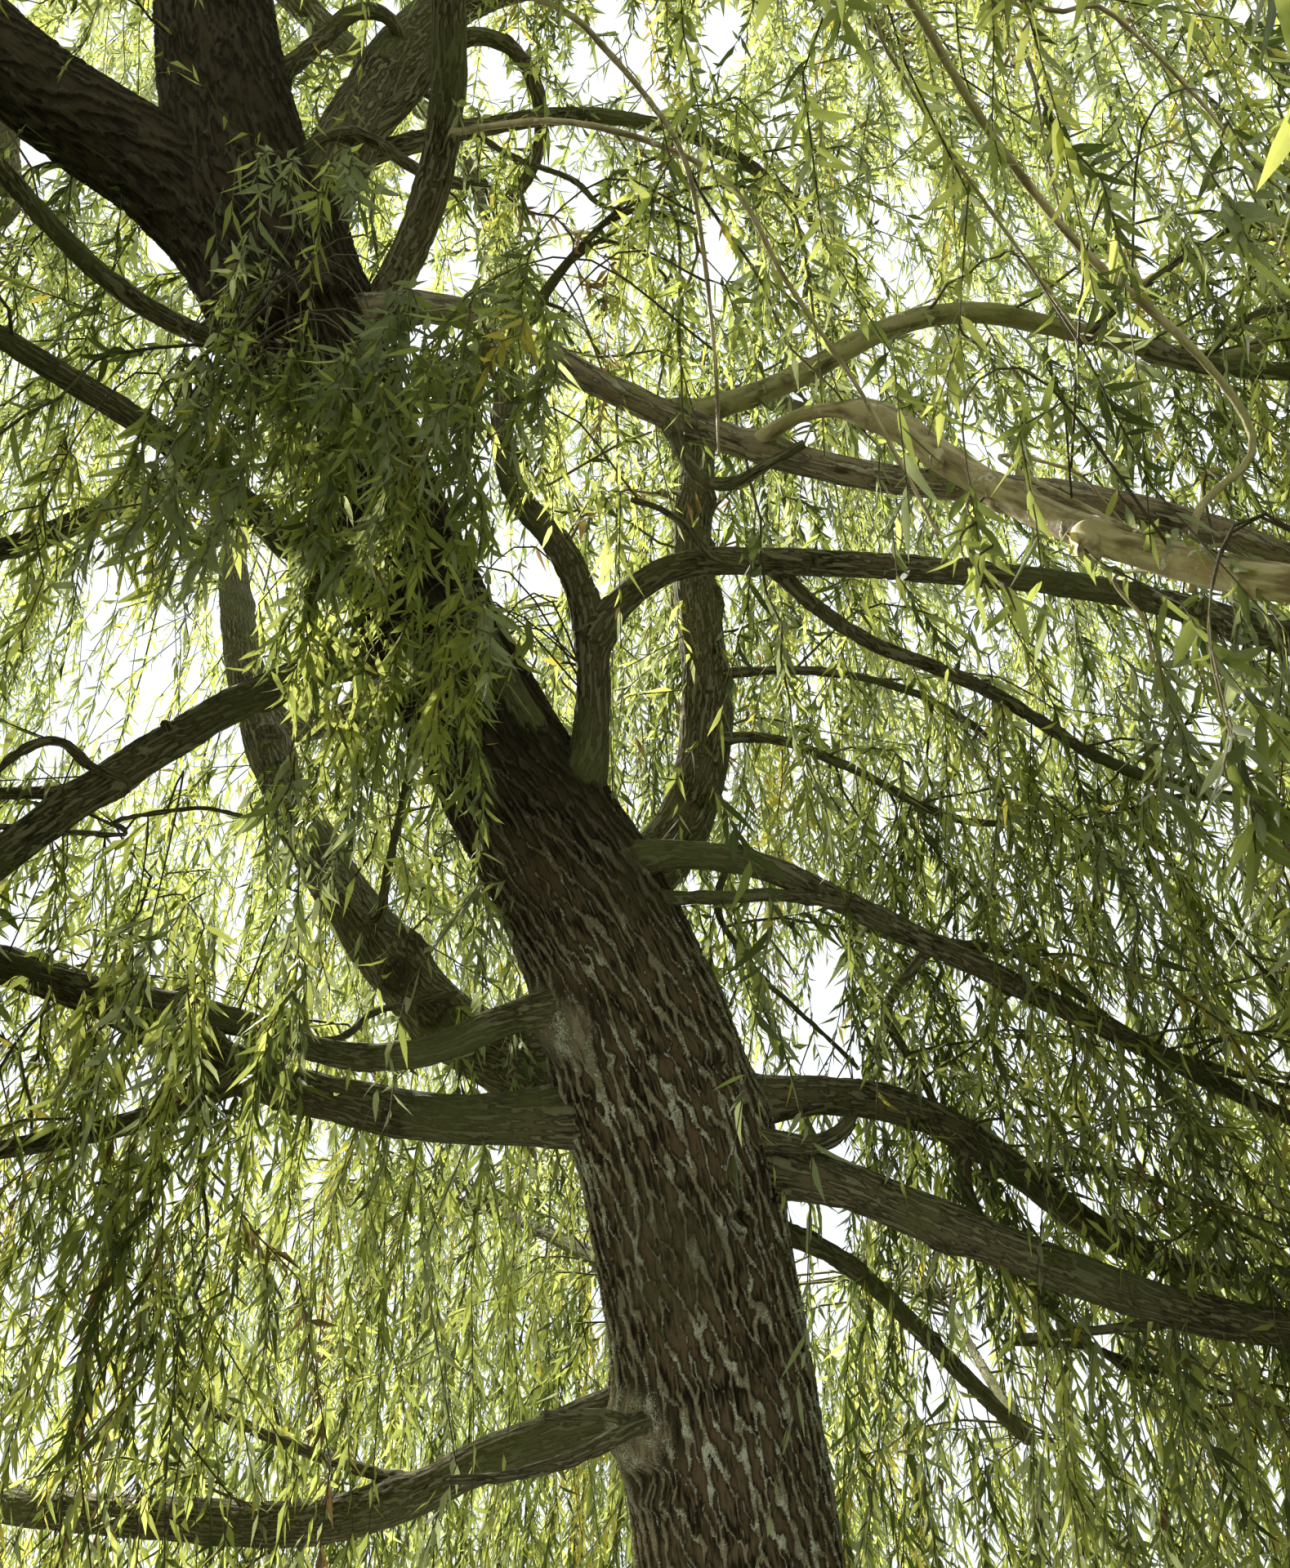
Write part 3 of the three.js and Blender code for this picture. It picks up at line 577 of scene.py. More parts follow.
@dataclass(frozen=True)
class BarkRelief:
    """The shape of one kind of bark: raised ridges between furrows, lumps, and rings round young wood.

    The grain is the mean spacing of the ridges, the stretch how many times longer than wide they run, the
    lean how far round the limb each family of ridges leans for each metre along it, and the twist how far
    both do.
    """

    grain: float
    stretch: float
    depth: float
    half_width: float
    lean: float
    wander: float
    kink: float
    ragged: float
    crumb: float
    lump: float
    across_step: float
    along_step: float
    twist: float = 0.0
    ring: float = 0.0
    ring_gap: float = 0.24

    FINE = np.array([0.011, 0.011, 0.019])
    LUMPS = np.array([1.6, 1.6, 3.4])
    KINKS = np.array([0.55, 0.55, 0.8])
    SECOND_FAMILY = 0.92
    RING_SWAY = 1.3
    RING_SWAY_CELLS = np.array([0.0, 0.0, 3.1])
    RING_EDGE = 0.004
    RING_PATCH = 0.034
    RING_LINE = 0.003
    RING_WIDTH = 0.008
    RING_TONE = 0.8
    RING_WHOLE = (0.6, 5.0)
    SWEEP = 2.0
    RUN_APART = 7.31
    FAMILIES_APART = 40.0
    RUN_WIDTH = (0.68, 2.3)
    RUN_WIDTHS = (0.02, 1.6)
    SHOULDER = 1.5
    # Numbers that each give the noise another pattern.
    FINE_PATTERN, LUMP_PATTERN, KINK_PATTERN, SWEEP_PATTERN, RUN_PATTERN = 5.0, 23.0, 31.0, 17.0, 5.0
    RING_PATTERN, PATCH_PATTERN = 3.0, 51.0

    def shape(self, place: Array, girth: Array, noise: Noise) -> tuple[Array, Array]:
        """The bark's height and how much of it is ridge.

        Args:
            place: Places unrolled on the limb, round it and along it in metres, (n, 3).
            girth: The limb's radius at each place, (n,).
            noise: The noise that the bark is drawn from.

        Returns:
            Heights above the plain radius in metres, (n,), and shares of ridge from 0 to 1, (n,).
        """
        fine = noise.at(place / self.FINE + self.FINE_PATTERN)
        second = self.ridges(place, fine, -1.0, noise) * self.SECOND_FAMILY
        ridge = np.maximum(self.ridges(place, fine, 1.0, noise), second)
        height = self.depth * (ridge - 0.5) + self.crumb * fine * (0.5 + ridge)
        lumps = noise.at(place / (girth[:, None] * self.LUMPS) + self.LUMP_PATTERN)
        height += self.lump * girth * lumps
        if self.ring:
            ridge, rings = self.rings(place, fine, noise)
            height += rings
        return height, ridge

    def rings(self, place: Array, fine: Array, noise: Noise) -> tuple[Array, Array]:
        """The broken rings round young wood.

        Args:
            place: Unrolled places, (n, 3).
            fine: Fine noise that makes the rings' edges ragged, (n,).
            noise: The noise.

        Returns:
            How plain a ring is at each place, from 0 to 1, (n,), and its height in metres, (n,).
        """
        sway = self.RING_SWAY * noise.at(place * self.RING_SWAY_CELLS + self.RING_PATTERN)
        turn = place[:, 2] / self.ring_gap + sway
        off = np.abs(turn - np.round(turn)) * self.ring_gap + self.RING_EDGE * fine
        mean, uneven = self.RING_WHOLE
        part = np.clip(mean + uneven * noise.at(place / self.RING_PATCH + self.PATCH_PATTERN), 0.0, 1.0)
        height = self.ring * bell(off / self.RING_WIDTH) * part
        return bell(off / self.RING_LINE) * part * self.RING_TONE, height

    def ridges(self, place: Array, fine: Array, slant: float, noise: Noise) -> Array:
        """How much places lie on the ridges that run along the limb and lean one way round it.

        Args:
            place: Unrolled places, (n, 3).
            fine: Fine noise that makes the ridges' edges ragged, (n,).
            slant: 1 for ridges that lean one way, -1 for the other.
            noise: The noise.

        Returns:
            Shares from 0 to 1, (n,).
        """
        round_length = 2 * math.pi * float(np.hypot(place[0, 0], place[0, 1]))
        count = max(2, round(round_length / (2.0 * self.grain)))
        gap = round_length / count
        turn = np.arctan2(place[:, 1], place[:, 0]) * count / (2 * math.pi)
        cell = gap * np.array([self.SWEEP, self.SWEEP, self.SWEEP * self.stretch])
        sweep = noise.at(place / cell + self.SWEEP_PATTERN * slant)
        kink = noise.at(place / (gap * self.KINKS) + self.KINK_PATTERN)
        leant = (slant * self.lean + self.twist) * place[:, 2] / gap
        turn += leant + slant * self.wander * sweep + self.kink * kink
        line = np.round(turn)
        run = np.stack([line % count * self.RUN_APART + self.RUN_PATTERN,
                        np.full(len(line), self.FAMILIES_APART * slant),
                        place[:, 2] / (gap * self.stretch)], axis=-1)
        mean, uneven = self.RUN_WIDTH
        wide = self.half_width * np.clip(mean + uneven * noise.at(run), *self.RUN_WIDTHS)
        away = np.abs(turn - line) * gap + self.half_width * self.ragged * fine
        return smooth_step(self.SHOULDER - away / wide)


YOUNG_RELIEF = BarkRelief(grain=0.05, stretch=2.0, depth=0.0008, half_width=0.006, lean=0.1, wander=0.6,
                          kink=0.2, ragged=0.7, crumb=0.0008, lump=0.16, ring=0.001, ring_gap=0.24,
                          across_step=0.0075, along_step=0.012)
BARK_RELIEFS = {
    BarkKind.FURROWED: BarkRelief(grain=0.029, stretch=3.0, depth=0.0125, half_width=0.0088, lean=0.2,
                                  wander=0.9, kink=0.42, ragged=0.85, crumb=0.005, lump=0.05, twist=0.22,
                                  across_step=0.0058, along_step=0.0095),
    BarkKind.FISSURED: BarkRelief(grain=0.012, stretch=3.2, depth=0.0032, half_width=0.004, lean=0.1,
                                  wander=0.8, kink=0.35, ragged=0.8, crumb=0.0022, lump=0.14,
                                  across_step=0.007, along_step=0.014),
    BarkKind.MOTTLED: replace(YOUNG_RELIEF, grain=0.03, stretch=2.4, depth=0.0016, wander=0.7, kink=0.3,
                              ragged=1.0, crumb=0.0012, ring=0.0),
    BarkKind.OLIVE: YOUNG_RELIEF,
    BarkKind.SMOOTH: replace(YOUNG_RELIEF, crumb=0.0006, ring=0.0014, ring_gap=0.17, across_step=0.0065,
                             along_step=0.009),
}


@dataclass(frozen=True)
class TrunkMark:
    """A scar, knot or burl on the trunk, by the pixels of the picture that it runs between.

    The rise is its height in metres, and the rim is a raised edge round its middle.
    """

    start: tuple[float, float]
    end: tuple[float, float]
    reach: float
    rise: float
    rim: float = 0.0


TRUNK_MARKS = tuple(TrunkMark(*row) for row in (
    ((748, 1296), (820, 1288), 7.0, -0.02), ((820, 1288), (884, 1308), 6.0, -0.016),
    ((748, 1276), (884, 1284), 14.0, 0.014), ((898, 1495), (905, 1490), 8.0, -0.022, 0.016),
    ((772, 1312), (776, 1326), 8.0, -0.02, 0.01), ((768, 1742), (776, 1760), 34.0, 0.034),
    ((640, 1240), (690, 1262), 30.0, 0.03), ((800, 1812), (812, 1816), 15.0, -0.018, 0.012),
))


class BarkMesh:
    """The bark of one limb as a mesh in relief."""

    SIDES = (10, 300)
    LEAST_RINGS = 8
    FAR_STEP = 1.5
    MOST_QUADS = 95_000
    SUNK = np.linspace(-0.16, -0.02, 9)
    ROUNDED = np.linspace(0.02, 0.12, 6)
    LEAST_END = 0.05
    BURL = 0.02
    BURL_CALM = 0.75
    BURL_TONE = 0.75
    BURL_REACH = 1.7
    RIM_OFF = 1.9
    RIM_SPREAD = 0.3
    DEEPEST = 0.3
    ABOVE_CUT = 0.001
    CHILD_WAY = 0.04
    KNOT_SPAN = (0.08, 0.97)
    KNOT_DIP = (0.9, 0.4)
    KNOT_RINGS = ((0.75, 1.0), (0.3, 0.8))
    KNOT_RING_WIDTH = 0.16
    SPLINTER_CELL = np.array([0.02, 0.02, 1.0])
    SPLINTER_LENGTH = 3.2
    SPLINTER_SHARES = (1.0, 0.6, 0.25)
    SPLINTER_PATTERN = 7.0
    FACING = 4.0

    def __init__(self, limb: Limb, kind: BarkKind, children: Sequence[Limb], noise: Noise,
                 view: Viewpoint) -> None:
        """Keeps what the bark is shaped from.

        Args:
            limb: The limb that it covers.
            kind: The kind of bark.
            children: The limbs that leave it.
            noise: The noise that the bark is drawn from.
            view: Where the marks on the trunk are seen from.
        """
        self.limb = limb
        self.relief = BARK_RELIEFS[kind]
        self.children = children
        self.noise = noise
        self.view = view
        self.swell = Swell()

    @property
    def is_trunk(self) -> bool:
        """Whether the limb is the trunk."""
        return self.limb.name == TRUNK.name

    def centre(self, rings: int) -> tuple[Array, Array, Array]:
        """The centre line, which starts inside a parent's end, and which rounds off above the trunk's fork.

        Args:
            rings: How many steps the limb itself has.

        Returns:
            Points, (n, 3), directions, (n, 3), and shares of the limb's length, (n,).
        """
        share = np.linspace(0.0, 1.0, rings + 1)
        line, ways = self.limb.line(rings), self.limb.direction(share)
        if self.limb.size.share == 1:
            line = np.vstack([line[0] + ways[0] * self.SUNK[:, None], line])
            ways = np.vstack([np.repeat(ways[:1], len(self.SUNK), axis=0), ways])
            share = np.concatenate([np.zeros(len(self.SUNK)), share])
        if self.is_trunk:
            line = np.vstack([line, line[-1] + ways[-1] * self.ROUNDED[:, None]])
            ways = np.vstack([ways, np.repeat(ways[-1:], len(self.ROUNDED), axis=0)])
            share = np.concatenate([share, np.ones(len(self.ROUNDED))])
        return line, ways, share

    def grid(self) -> tuple[Array, Array, Array, Array]:
        """Rings round the centre line.

        Returns:
            Points, directions out and unrolled places, (rings, sides, 3), and radii, (rings, sides).
        """
        limb, size, relief = self.limb, self.limb.size, self.relief
        coarse = self.FAR_STEP if limb.name in FAR_LIMBS else 1.0
        sides = int(np.clip(round(max(size.girth) * math.pi / relief.across_step / coarse), *self.SIDES))
        rings = max(self.LEAST_RINGS, round(size.length / relief.along_step / coarse))
        line, ways, share = self.centre(rings)
        across, over = across_frames(ways)
        angle = np.arange(sides) * 2 * math.pi / sides
        out = across[:, None] * np.cos(angle)[None, :, None] + over[:, None] * np.sin(angle)[None, :, None]
        radius = np.repeat(limb.radius(share)[:, None], sides, axis=1)
        if limb.name in NARROW_FOOT:
            low, high, least = NARROW_FOOT[limb.name]
            radius = radius * mix(least, 1.0, smooth_step((share - low) / (high - low)))[:, None]
        if self.is_trunk:
            radius = radius * self.swell.at_foot(line[:, 2][:, None], angle[None, :])
            past = np.maximum(np.arange(len(share)) - rings, 0) / len(self.ROUNDED)
            radius = radius * np.sqrt(np.clip(1.0 - past ** 2, self.LEAST_END, 1.0))[:, None]
        else:
            collar = self.swell.at_collar(share * size.length - limb.buried, limb.radius(0.0))
            radius = radius * collar[:, None]
        mean = max(size.girth) / 2.0
        place = np.stack(np.broadcast_arrays(np.cos(angle)[None] * mean, np.sin(angle)[None] * mean,
                                             travelled(line)[:, None]), axis=-1)
        return line[:, None] + out * radius[..., None], out, place, radius

    def bosses(self, points: Array) -> Array:
        """How far the bark swells round the feet of the limbs that leave it.

        Args:
            points: Places on the bark, (n, 3).

        Returns:
            Heights in metres, (n,).
        """
        rise = np.zeros(len(points))
        for child in self.children:
            if child.size.share == 1:
                continue
            reach = child.radius(0.0)
            way = child.direction(self.CHILD_WAY)
            out = (points - child.foot) @ way
            off = np.linalg.norm(points - child.foot - out[:, None] * way, axis=1)
            near = bell(off / (self.swell.boss_spread * reach)) * (out > 0)
            rise += self.swell.boss * reach * near
        return rise

    def knots(self, points: Array) -> tuple[Array, Array]:
        """The knots of a bough.

        Args:
            points: Places on the bark, (n, 3).

        Returns:
            How far they move the bark in metres, (n,), and how much of it is scar, (n,).
        """
        rise, scar = np.zeros(len(points)), np.zeros(len(points))
        if KIND_OF_LIMB.get(self.limb.name) is BarkKind.FURROWED:
            return rise, scar
        dice = np.random.default_rng(len(self.limb.name) * 7 + round(self.limb.size.length * 100))
        for _ in range(round(self.limb.size.length / self.swell.knot_gap)):
            share, angle = dice.uniform(*self.KNOT_SPAN), dice.uniform(0.0, 2 * math.pi)
            reach = self.limb.radius(share)
            way = self.limb.direction(share)
            aside = unit(np.cross(way, (0.3, 0.2, 0.93)))
            out = aside * math.cos(angle) + np.cross(way, aside) * math.sin(angle)
            middle = self.limb.point(share) + out * reach
            off = np.linalg.norm(points - middle, axis=1) / (reach * self.swell.knot_reach)
            dip, narrow = self.KNOT_DIP
            rise += reach * self.swell.knot_rise * (bell(off) - dip * bell(off / narrow))
            ring = sum(tone * bell((off - at) / self.KNOT_RING_WIDTH) for at, tone in self.KNOT_RINGS)
            scar = np.maximum(scar, ring)
        return rise, scar

    def marks(self, points: Array, out: Array) -> tuple[Array, Array]:
        """The trunk's scars, knots and burls.

        Args:
            points: Places on the bark, (n, 3).
            out: The directions out of it, (n, 3).

        Returns:
            How far they move the bark in metres, (n,), and how calm they make it, (n,).
        """
        pixels, _ = self.view.pixels(points)
        facing = np.einsum("ij,ij->i", out, unit(np.asarray(self.view.eye) - points))
        facing = smooth_step(facing * self.FACING)
        rise, calm = np.zeros(len(points)), np.zeros(len(points))
        for mark in TRUNK_MARKS:
            start, end = np.array(mark.start), np.array(mark.end)
            run = end - start
            share = np.clip((pixels - start) @ run / (run @ run), 0.0, 1.0)
            off = np.linalg.norm(pixels - start - share[:, None] * run, axis=1) / mark.reach
            rim = mark.rim * np.exp(-(off - self.RIM_OFF) ** 2 / self.RIM_SPREAD)
            rise += facing * (mark.rise * bell(off) + rim)
            if mark.rise > self.BURL:
                calm = np.maximum(calm, facing * np.exp(-(off / self.BURL_REACH) ** 4))
        return rise, calm

    def build(self, name: str) -> "list[MeshData]":
        """The bark as mesh data, with its ridges and unrolled places kept for its finish.

        Args:
            name: The mesh's name, to which a number is added where the bark is cut into slices.

        Returns:
            One mesh, or as many slices as keep each under the most faces.
        """
        points, out, place, radius = self.grid()
        shape = rings, sides = radius.shape
        flat, ways, radius = points.reshape(-1, 3), out.reshape(-1, 3), radius.reshape(-1)
        height, ridge = self.relief.shape(place.reshape(-1, 3), radius, self.noise)
        knot, scar = self.knots(flat)
        height = np.minimum(height, self.DEEPEST * radius)
        if self.is_trunk:
            rise, calm = self.marks(flat, ways)
            height = height * (1.0 - self.BURL_CALM * calm) + rise
            ridge = mix(ridge, self.BURL_TONE, calm)
        height += self.bosses(flat) + knot
        points = (flat + ways * height[:, None]).reshape(rings, sides, 3)
        if self.limb.name in BROKEN_LIMBS:
            self.splinter(points, place)
        if self.is_trunk:
            points[0, :, 2] = 0.0
            points[1:, :, 2] = np.maximum(points[1:, :, 2], self.ABOVE_CUT)
        values = {"ridge": ridge.reshape(shape), "scar": scar.reshape(shape), "place": place}
        slices = math.ceil(rings * sides / self.MOST_QUADS)
        cuts = np.linspace(0, rings - 1, slices + 1).astype(int)
        made = []
        for turn, (low, high) in enumerate(zip(cuts[:-1], cuts[1:]), 1):
            part = slice(low, high + 1)
            held = {key: value[part].reshape(-1, *value.shape[2:]) for key, value in values.items()}
            made.append(MeshData.from_rings(name if slices == 1 else f"{name}_{turn}", points[part], held))
        return made

    def splinter(self, rings: Array, place: Array) -> None:
        """Draws the last rings of a broken limb out into uneven splinters, in place."""
        way = self.limb.direction(1.0)
        uneven = self.noise.at(place[-1] / self.SPLINTER_CELL + self.SPLINTER_PATTERN)
        length = self.limb.radius(1.0)
        for back, share in enumerate(self.SPLINTER_SHARES):
            rings[-1 - back] += way * (uneven * self.SPLINTER_LENGTH * length * share)[:, None]


@dataclass
class MeshData:
    """Points, faces of three or four corners, and values kept on the points."""

    name: str
    points: Array
    faces: Array
    values: dict[str, Array] = field(default_factory=dict)

    @classmethod
    def from_rings(cls, name: str, rings: Array, values: dict[str, Array]) -> "MeshData":
        """A closed skin through rings of points.

        Args:
            name: The mesh's name.
            rings: The rings from one end to the other, (rings, sides, 3).
            values: Values kept on the points, in the rings' order.

        Returns:
            The mesh data, with a point in the middle of each end.
        """
        count, sides, _ = rings.shape
        index = np.arange(count * sides).reshape(count, sides)
        onward = np.roll(index, -1, axis=1)
        walls = np.stack([index[:-1], onward[:-1], onward[1:], index[1:]], axis=-1).reshape(-1, 4)
        middles = count * sides + np.arange(2)
        first = np.stack([onward[0], index[0], np.full(sides, middles[0])], axis=-1)
        last = np.stack([index[-1], onward[-1], np.full(sides, middles[1])], axis=-1)
        caps = np.vstack([first, last])
        caps = np.hstack([caps, np.full((len(caps), 1), -1)])
        ends = np.stack([rings[0].mean(axis=0), rings[-1].mean(axis=0)])
        kept = {}
        for key, value in values.items():
            tips = np.stack([value[:sides].mean(axis=0), value[-sides:].mean(axis=0)])
            kept[key] = np.concatenate([value, tips])
        return cls(name, np.vstack([rings.reshape(-1, 3), ends]), np.vstack([walls, caps]), kept)

    @classmethod
    def join(cls, name: str, parts: "Sequence[MeshData]") -> "MeshData":
        """Several meshes as one."""
        starts = np.cumsum([0] + [len(part.points) for part in parts[:-1]])
        faces = [np.where(part.faces < 0, -1, part.faces + start) for part, start in zip(parts, starts)]
        values = {key: np.concatenate([part.values[key] for part in parts]) for key in parts[0].values}
        return cls(name, np.vstack([part.points for part in parts]), np.vstack(faces), values)

    def object(self, material: bpy.types.Material, slot: str, nodes: Iterable[str] = ()) -> bpy.types.Object:
        """The mesh as a piece of the tree.

        Args:
            material: Its finish.
            slot: The record's material slot that the finish belongs to; not used.
            nodes: The solids that the piece stands for.

        Returns:
            The object, riding on the tree's body.
        """
        mesh = bpy.data.meshes.new(self.name)
        mesh.vertices.add(len(self.points))
        mesh.vertices.foreach_set("co", self.points.astype(np.float32).ravel())
        held = self.faces >= 0
        sizes = held.sum(axis=1)
        mesh.loops.add(int(sizes.sum()))
        mesh.loops.foreach_set("vertex_index", self.faces[held].astype(np.int32))
        mesh.polygons.add(len(self.faces))
        mesh.polygons.foreach_set("loop_start", (np.cumsum(sizes) - sizes).astype(np.int32))
        mesh.polygons.foreach_set("use_smooth", np.ones(len(self.faces), bool))
        mesh.update(calc_edges=True)
        for key, value in self.values.items():
            kind, field_name = ("FLOAT", "value") if value.ndim == 1 else ("FLOAT_VECTOR", "vector")
            attribute = mesh.attributes.new(key, kind, "POINT")
            attribute.data.foreach_set(field_name, value.astype(np.float32).ravel())
        mesh.materials.append(material)
        piece = bpy.data.objects.new(self.name, mesh)
        bpy.context.scene.collection.objects.link(piece)
        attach(piece, BODY)
        replaced = list(nodes)
        if replaced:
            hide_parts(*replaced)
        LOG.info("%s: %d faces", self.name, len(self.faces))
        return piece


@dataclass(frozen=True)
class Opening:
    """A gap of sky in the crown, as a round patch of the picture in pixels."""

    column: float
    row: float
    reach: float


OPENINGS = tuple(Opening(*row) for row in (
    (205, 815, 85), (285, 905, 55), (120, 885, 45), (40, 185, 50), (640, 690, 42), (632, 885, 34),
    (1085, 275, 42), (1105, 335, 34), (1005, 1290, 40), (1205, 780, 34), (1175, 1715, 48), (1250, 1705, 44),
    (1330, 1700, 34), (1385, 1765, 30), (1012, 1600, 30), (985, 1545, 24), (370, 1515, 24), (690, 215, 34),
    (960, 150, 24), (455, 790, 26), (560, 90, 44), (640, 130, 36), (765, 70, 46), (700, 330, 28),
    (860, 320, 30), (470, 60, 26), (540, 320, 36), (885, 60, 36), (225, 270, 34), (330, 690, 30),
    (120, 720, 40), (1210, 560, 24), (1330, 640, 22), (1010, 1230, 26),
))


@dataclass(frozen=True)
class Curtain:
    """A round patch of the picture where twigs hang before what stands behind it.

    Its middle and half sizes are in pixels, and its depths, in metres, are those of the twigs' tips.
    """

    column: float
    row: float
    wide: float
    high: float
    depths: tuple[float, float]
    twigs: int
    shoots: int = 6
    shoot_length: tuple[float, float] = (0.1, 0.42)
    bare: float = 0.62


CURTAINS = tuple(Curtain(*row) for row in (
    (450, 660, 160, 260, (2.5, 3.25), 34), (350, 500, 150, 120, (2.5, 3.25), 18),
    (385, 700, 40, 90, (1.35, 1.6), 3, 3, (0.06, 0.2), 0.86), (180, 600, 190, 120, (2.4, 3.2), 10),
    (640, 480, 120, 120, (2.6, 3.3), 12), (290, 1010, 60, 100, (1.4, 1.8), 3, 3, (0.06, 0.2), 0.8),
    (330, 1330, 90, 150, (1.8, 2.4), 5, 3, (0.08, 0.3), 0.75), (400, 960, 90, 120, (2.6, 3.4), 8),
    (560, 880, 70, 100, (2.5, 3.2), 8, 5), (1215, 740, 30, 70, (1.5, 1.8), 2, 2, (0.06, 0.2), 0.86),
    (260, 1270, 160, 60, (2.6, 3.2), 8), (1530, 960, 45, 110, (1.4, 1.7), 2, 3, (0.06, 0.25), 0.8),
    (1480, 900, 110, 120, (2.2, 2.8), 4), (1520, 250, 50, 80, (1.7, 2.1), 2, 3, (0.08, 0.25), 0.8),
    (380, 250, 45, 100, (2.6, 3.3), 3, 4),
))


class Sightlines:
    """What stays in sight from under the crown: sky in its gaps, and limbs behind thin foliage.

    The front is a coarse chart of the picture that holds the depth of the nearest limb, or 0.
    """

    CELL = 6
    STEPS = 300
    NO_NEARER = 0.3
    FRAME_NO_NEARER = 0.2
    ROOM = 1.05
    NEAR = 3.3
    MARGIN = 30.0
    AHEAD = 0.06
    CLEAR_UPTO = {"trunk": 0.6, "leader": 0.55}
    CLEAR_REST = 0.9
    PATCH = 56
    LEAF_AREA = 0.021
    LACE = 0.19
    SECOND_LUCK = 97.0
    LOBES = (0.3, 0.25)

    def __init__(self, view: Viewpoint, limbs: Sequence[Limb]) -> None:
        """Charts the limbs.

        Args:
            view: Where the tree is seen from.
            limbs: The limbs that are to stay in sight.
        """
        self.view = view
        self.eye = np.asarray(view.eye)
        self.front = np.zeros((view.high // self.CELL + 1, view.wide // self.CELL + 1))
        self.cover = np.zeros((view.high // self.PATCH + 1, view.wide // self.PATCH + 1))
        for limb in limbs:
            self.chart(limb, self.CLEAR_UPTO.get(limb.name, self.CLEAR_REST))

    def chart(self, limb: Limb, upto: float) -> None:
        """Marks the cells that a limb covers.

        Args:
            limb: The limb.
            upto: The share of its length that is marked.
        """
        share = np.linspace(0.0, upto, self.STEPS)
        pixels, depths = self.view.pixels(limb.point(share))
        for (column, row), depth, radius in zip(pixels, depths, limb.radius(share)):
            if depth < self.NO_NEARER:
                continue
            half = self.view.focal * radius / depth + self.CELL
            low_row, high_row = (max(0, int((row + way * half) / self.CELL)) for way in (-1, 1))
            low, high = (max(0, int((column + way * half) / self.CELL)) for way in (-1, 1))
            patch = self.front[low_row:high_row + 1, low:high + 1]
            patch[...] = np.where(patch == 0.0, depth, np.minimum(patch, depth))

    def in_frame(self, pixels: Array, depth: Array) -> Array:
        """Which points fall in the picture or just past its edge."""
        far = np.array([self.view.wide, self.view.high]) + self.MARGIN
        return (depth > self.FRAME_NO_NEARER) & ((pixels > -self.MARGIN) & (pixels < far)).all(axis=-1)

    def seen(self, lines: Array) -> Array:
        """Which lines of points, (n, points, 3), have a point in the picture."""
        return self.in_frame(*self.view.pixels(lines)).any(axis=1)

    def hides_limb(self, pixels: Array, depth: Array) -> Array:
        """Which points stand in front of a charted limb.

        Args:
            pixels: The points' columns and rows, (..., 2).
            depth: Their depths along the view, (...).

        Returns:
            A mask, (...).
        """
        rows, columns = self.front.shape
        row = np.clip((pixels[..., 1] // self.CELL).astype(int), 0, rows - 1)
        column = np.clip((pixels[..., 0] // self.CELL).astype(int), 0, columns - 1)
        return self.in_frame(pixels, depth) & (depth < self.front[row, column] - self.AHEAD)

    def in_opening(self, pixels: Array, depth: Array) -> Array:
        """Which points stand in a gap of sky, whose edge has three and five uneven lobes.

        Args:
            pixels: The points' columns and rows, (..., 2).
            depth: Their depths along the view, (...).

        Returns:
            A mask, (...).
        """
        blocked = np.zeros(depth.shape, bool)
        for opening in OPENINGS:
            across, down = pixels[..., 0] - opening.column, pixels[..., 1] - opening.row
            turn = np.arctan2(down, across)
            three, five = (depth_of * np.sin(lobes * turn + start) for depth_of, lobes, start in
                           zip(self.LOBES, (3, 5), (opening.column, opening.row)))
            uneven = 1.0 + three + five
            blocked |= (np.hypot(across, down) < opening.reach * uneven) & (depth > self.NO_NEARER)
        return blocked

    def even_out(self, strands: "Strands", most: float, order: Array) -> Array:
        """Which strands the picture has room for, so that no part of it is covered much more than the rest.

        Args:
            strands: The strands that are offered.
            most: The layers of leaves at which a part of the picture is full.
            order: The order in which they are offered.

        Returns:
            A mask, (n,), in which strands out of the picture all stay.
        """
        starts, ends = strands.lines[:, :-1], strands.lines[:, 1:]
        lines = np.concatenate([starts, (ends + starts) / 2], axis=1)
        pixels, depth = self.view.pixels(lines)
        inside = self.in_frame(pixels, depth)
        row, column = ((np.clip(pixels[..., axis], 0, size - 1) // self.PATCH).astype(int)
                       for axis, size in ((1, self.view.high), (0, self.view.wide)))
        spread = self.LEAF_AREA * (self.view.focal / np.maximum(depth, self.NO_NEARER) / self.PATCH) ** 2
        spread *= (strands.lengths / lines.shape[1])[:, None]
        stay = ~inside.any(axis=1)
        for index in order:
            if stay[index]:
                continue
            held = inside[index]
            rows, columns = row[index, held], column[index, held]
            if self.cover[rows, columns].mean() < most:
                stay[index] = True
                np.add.at(self.cover, (rows, columns), spread[index, held])
        return stay

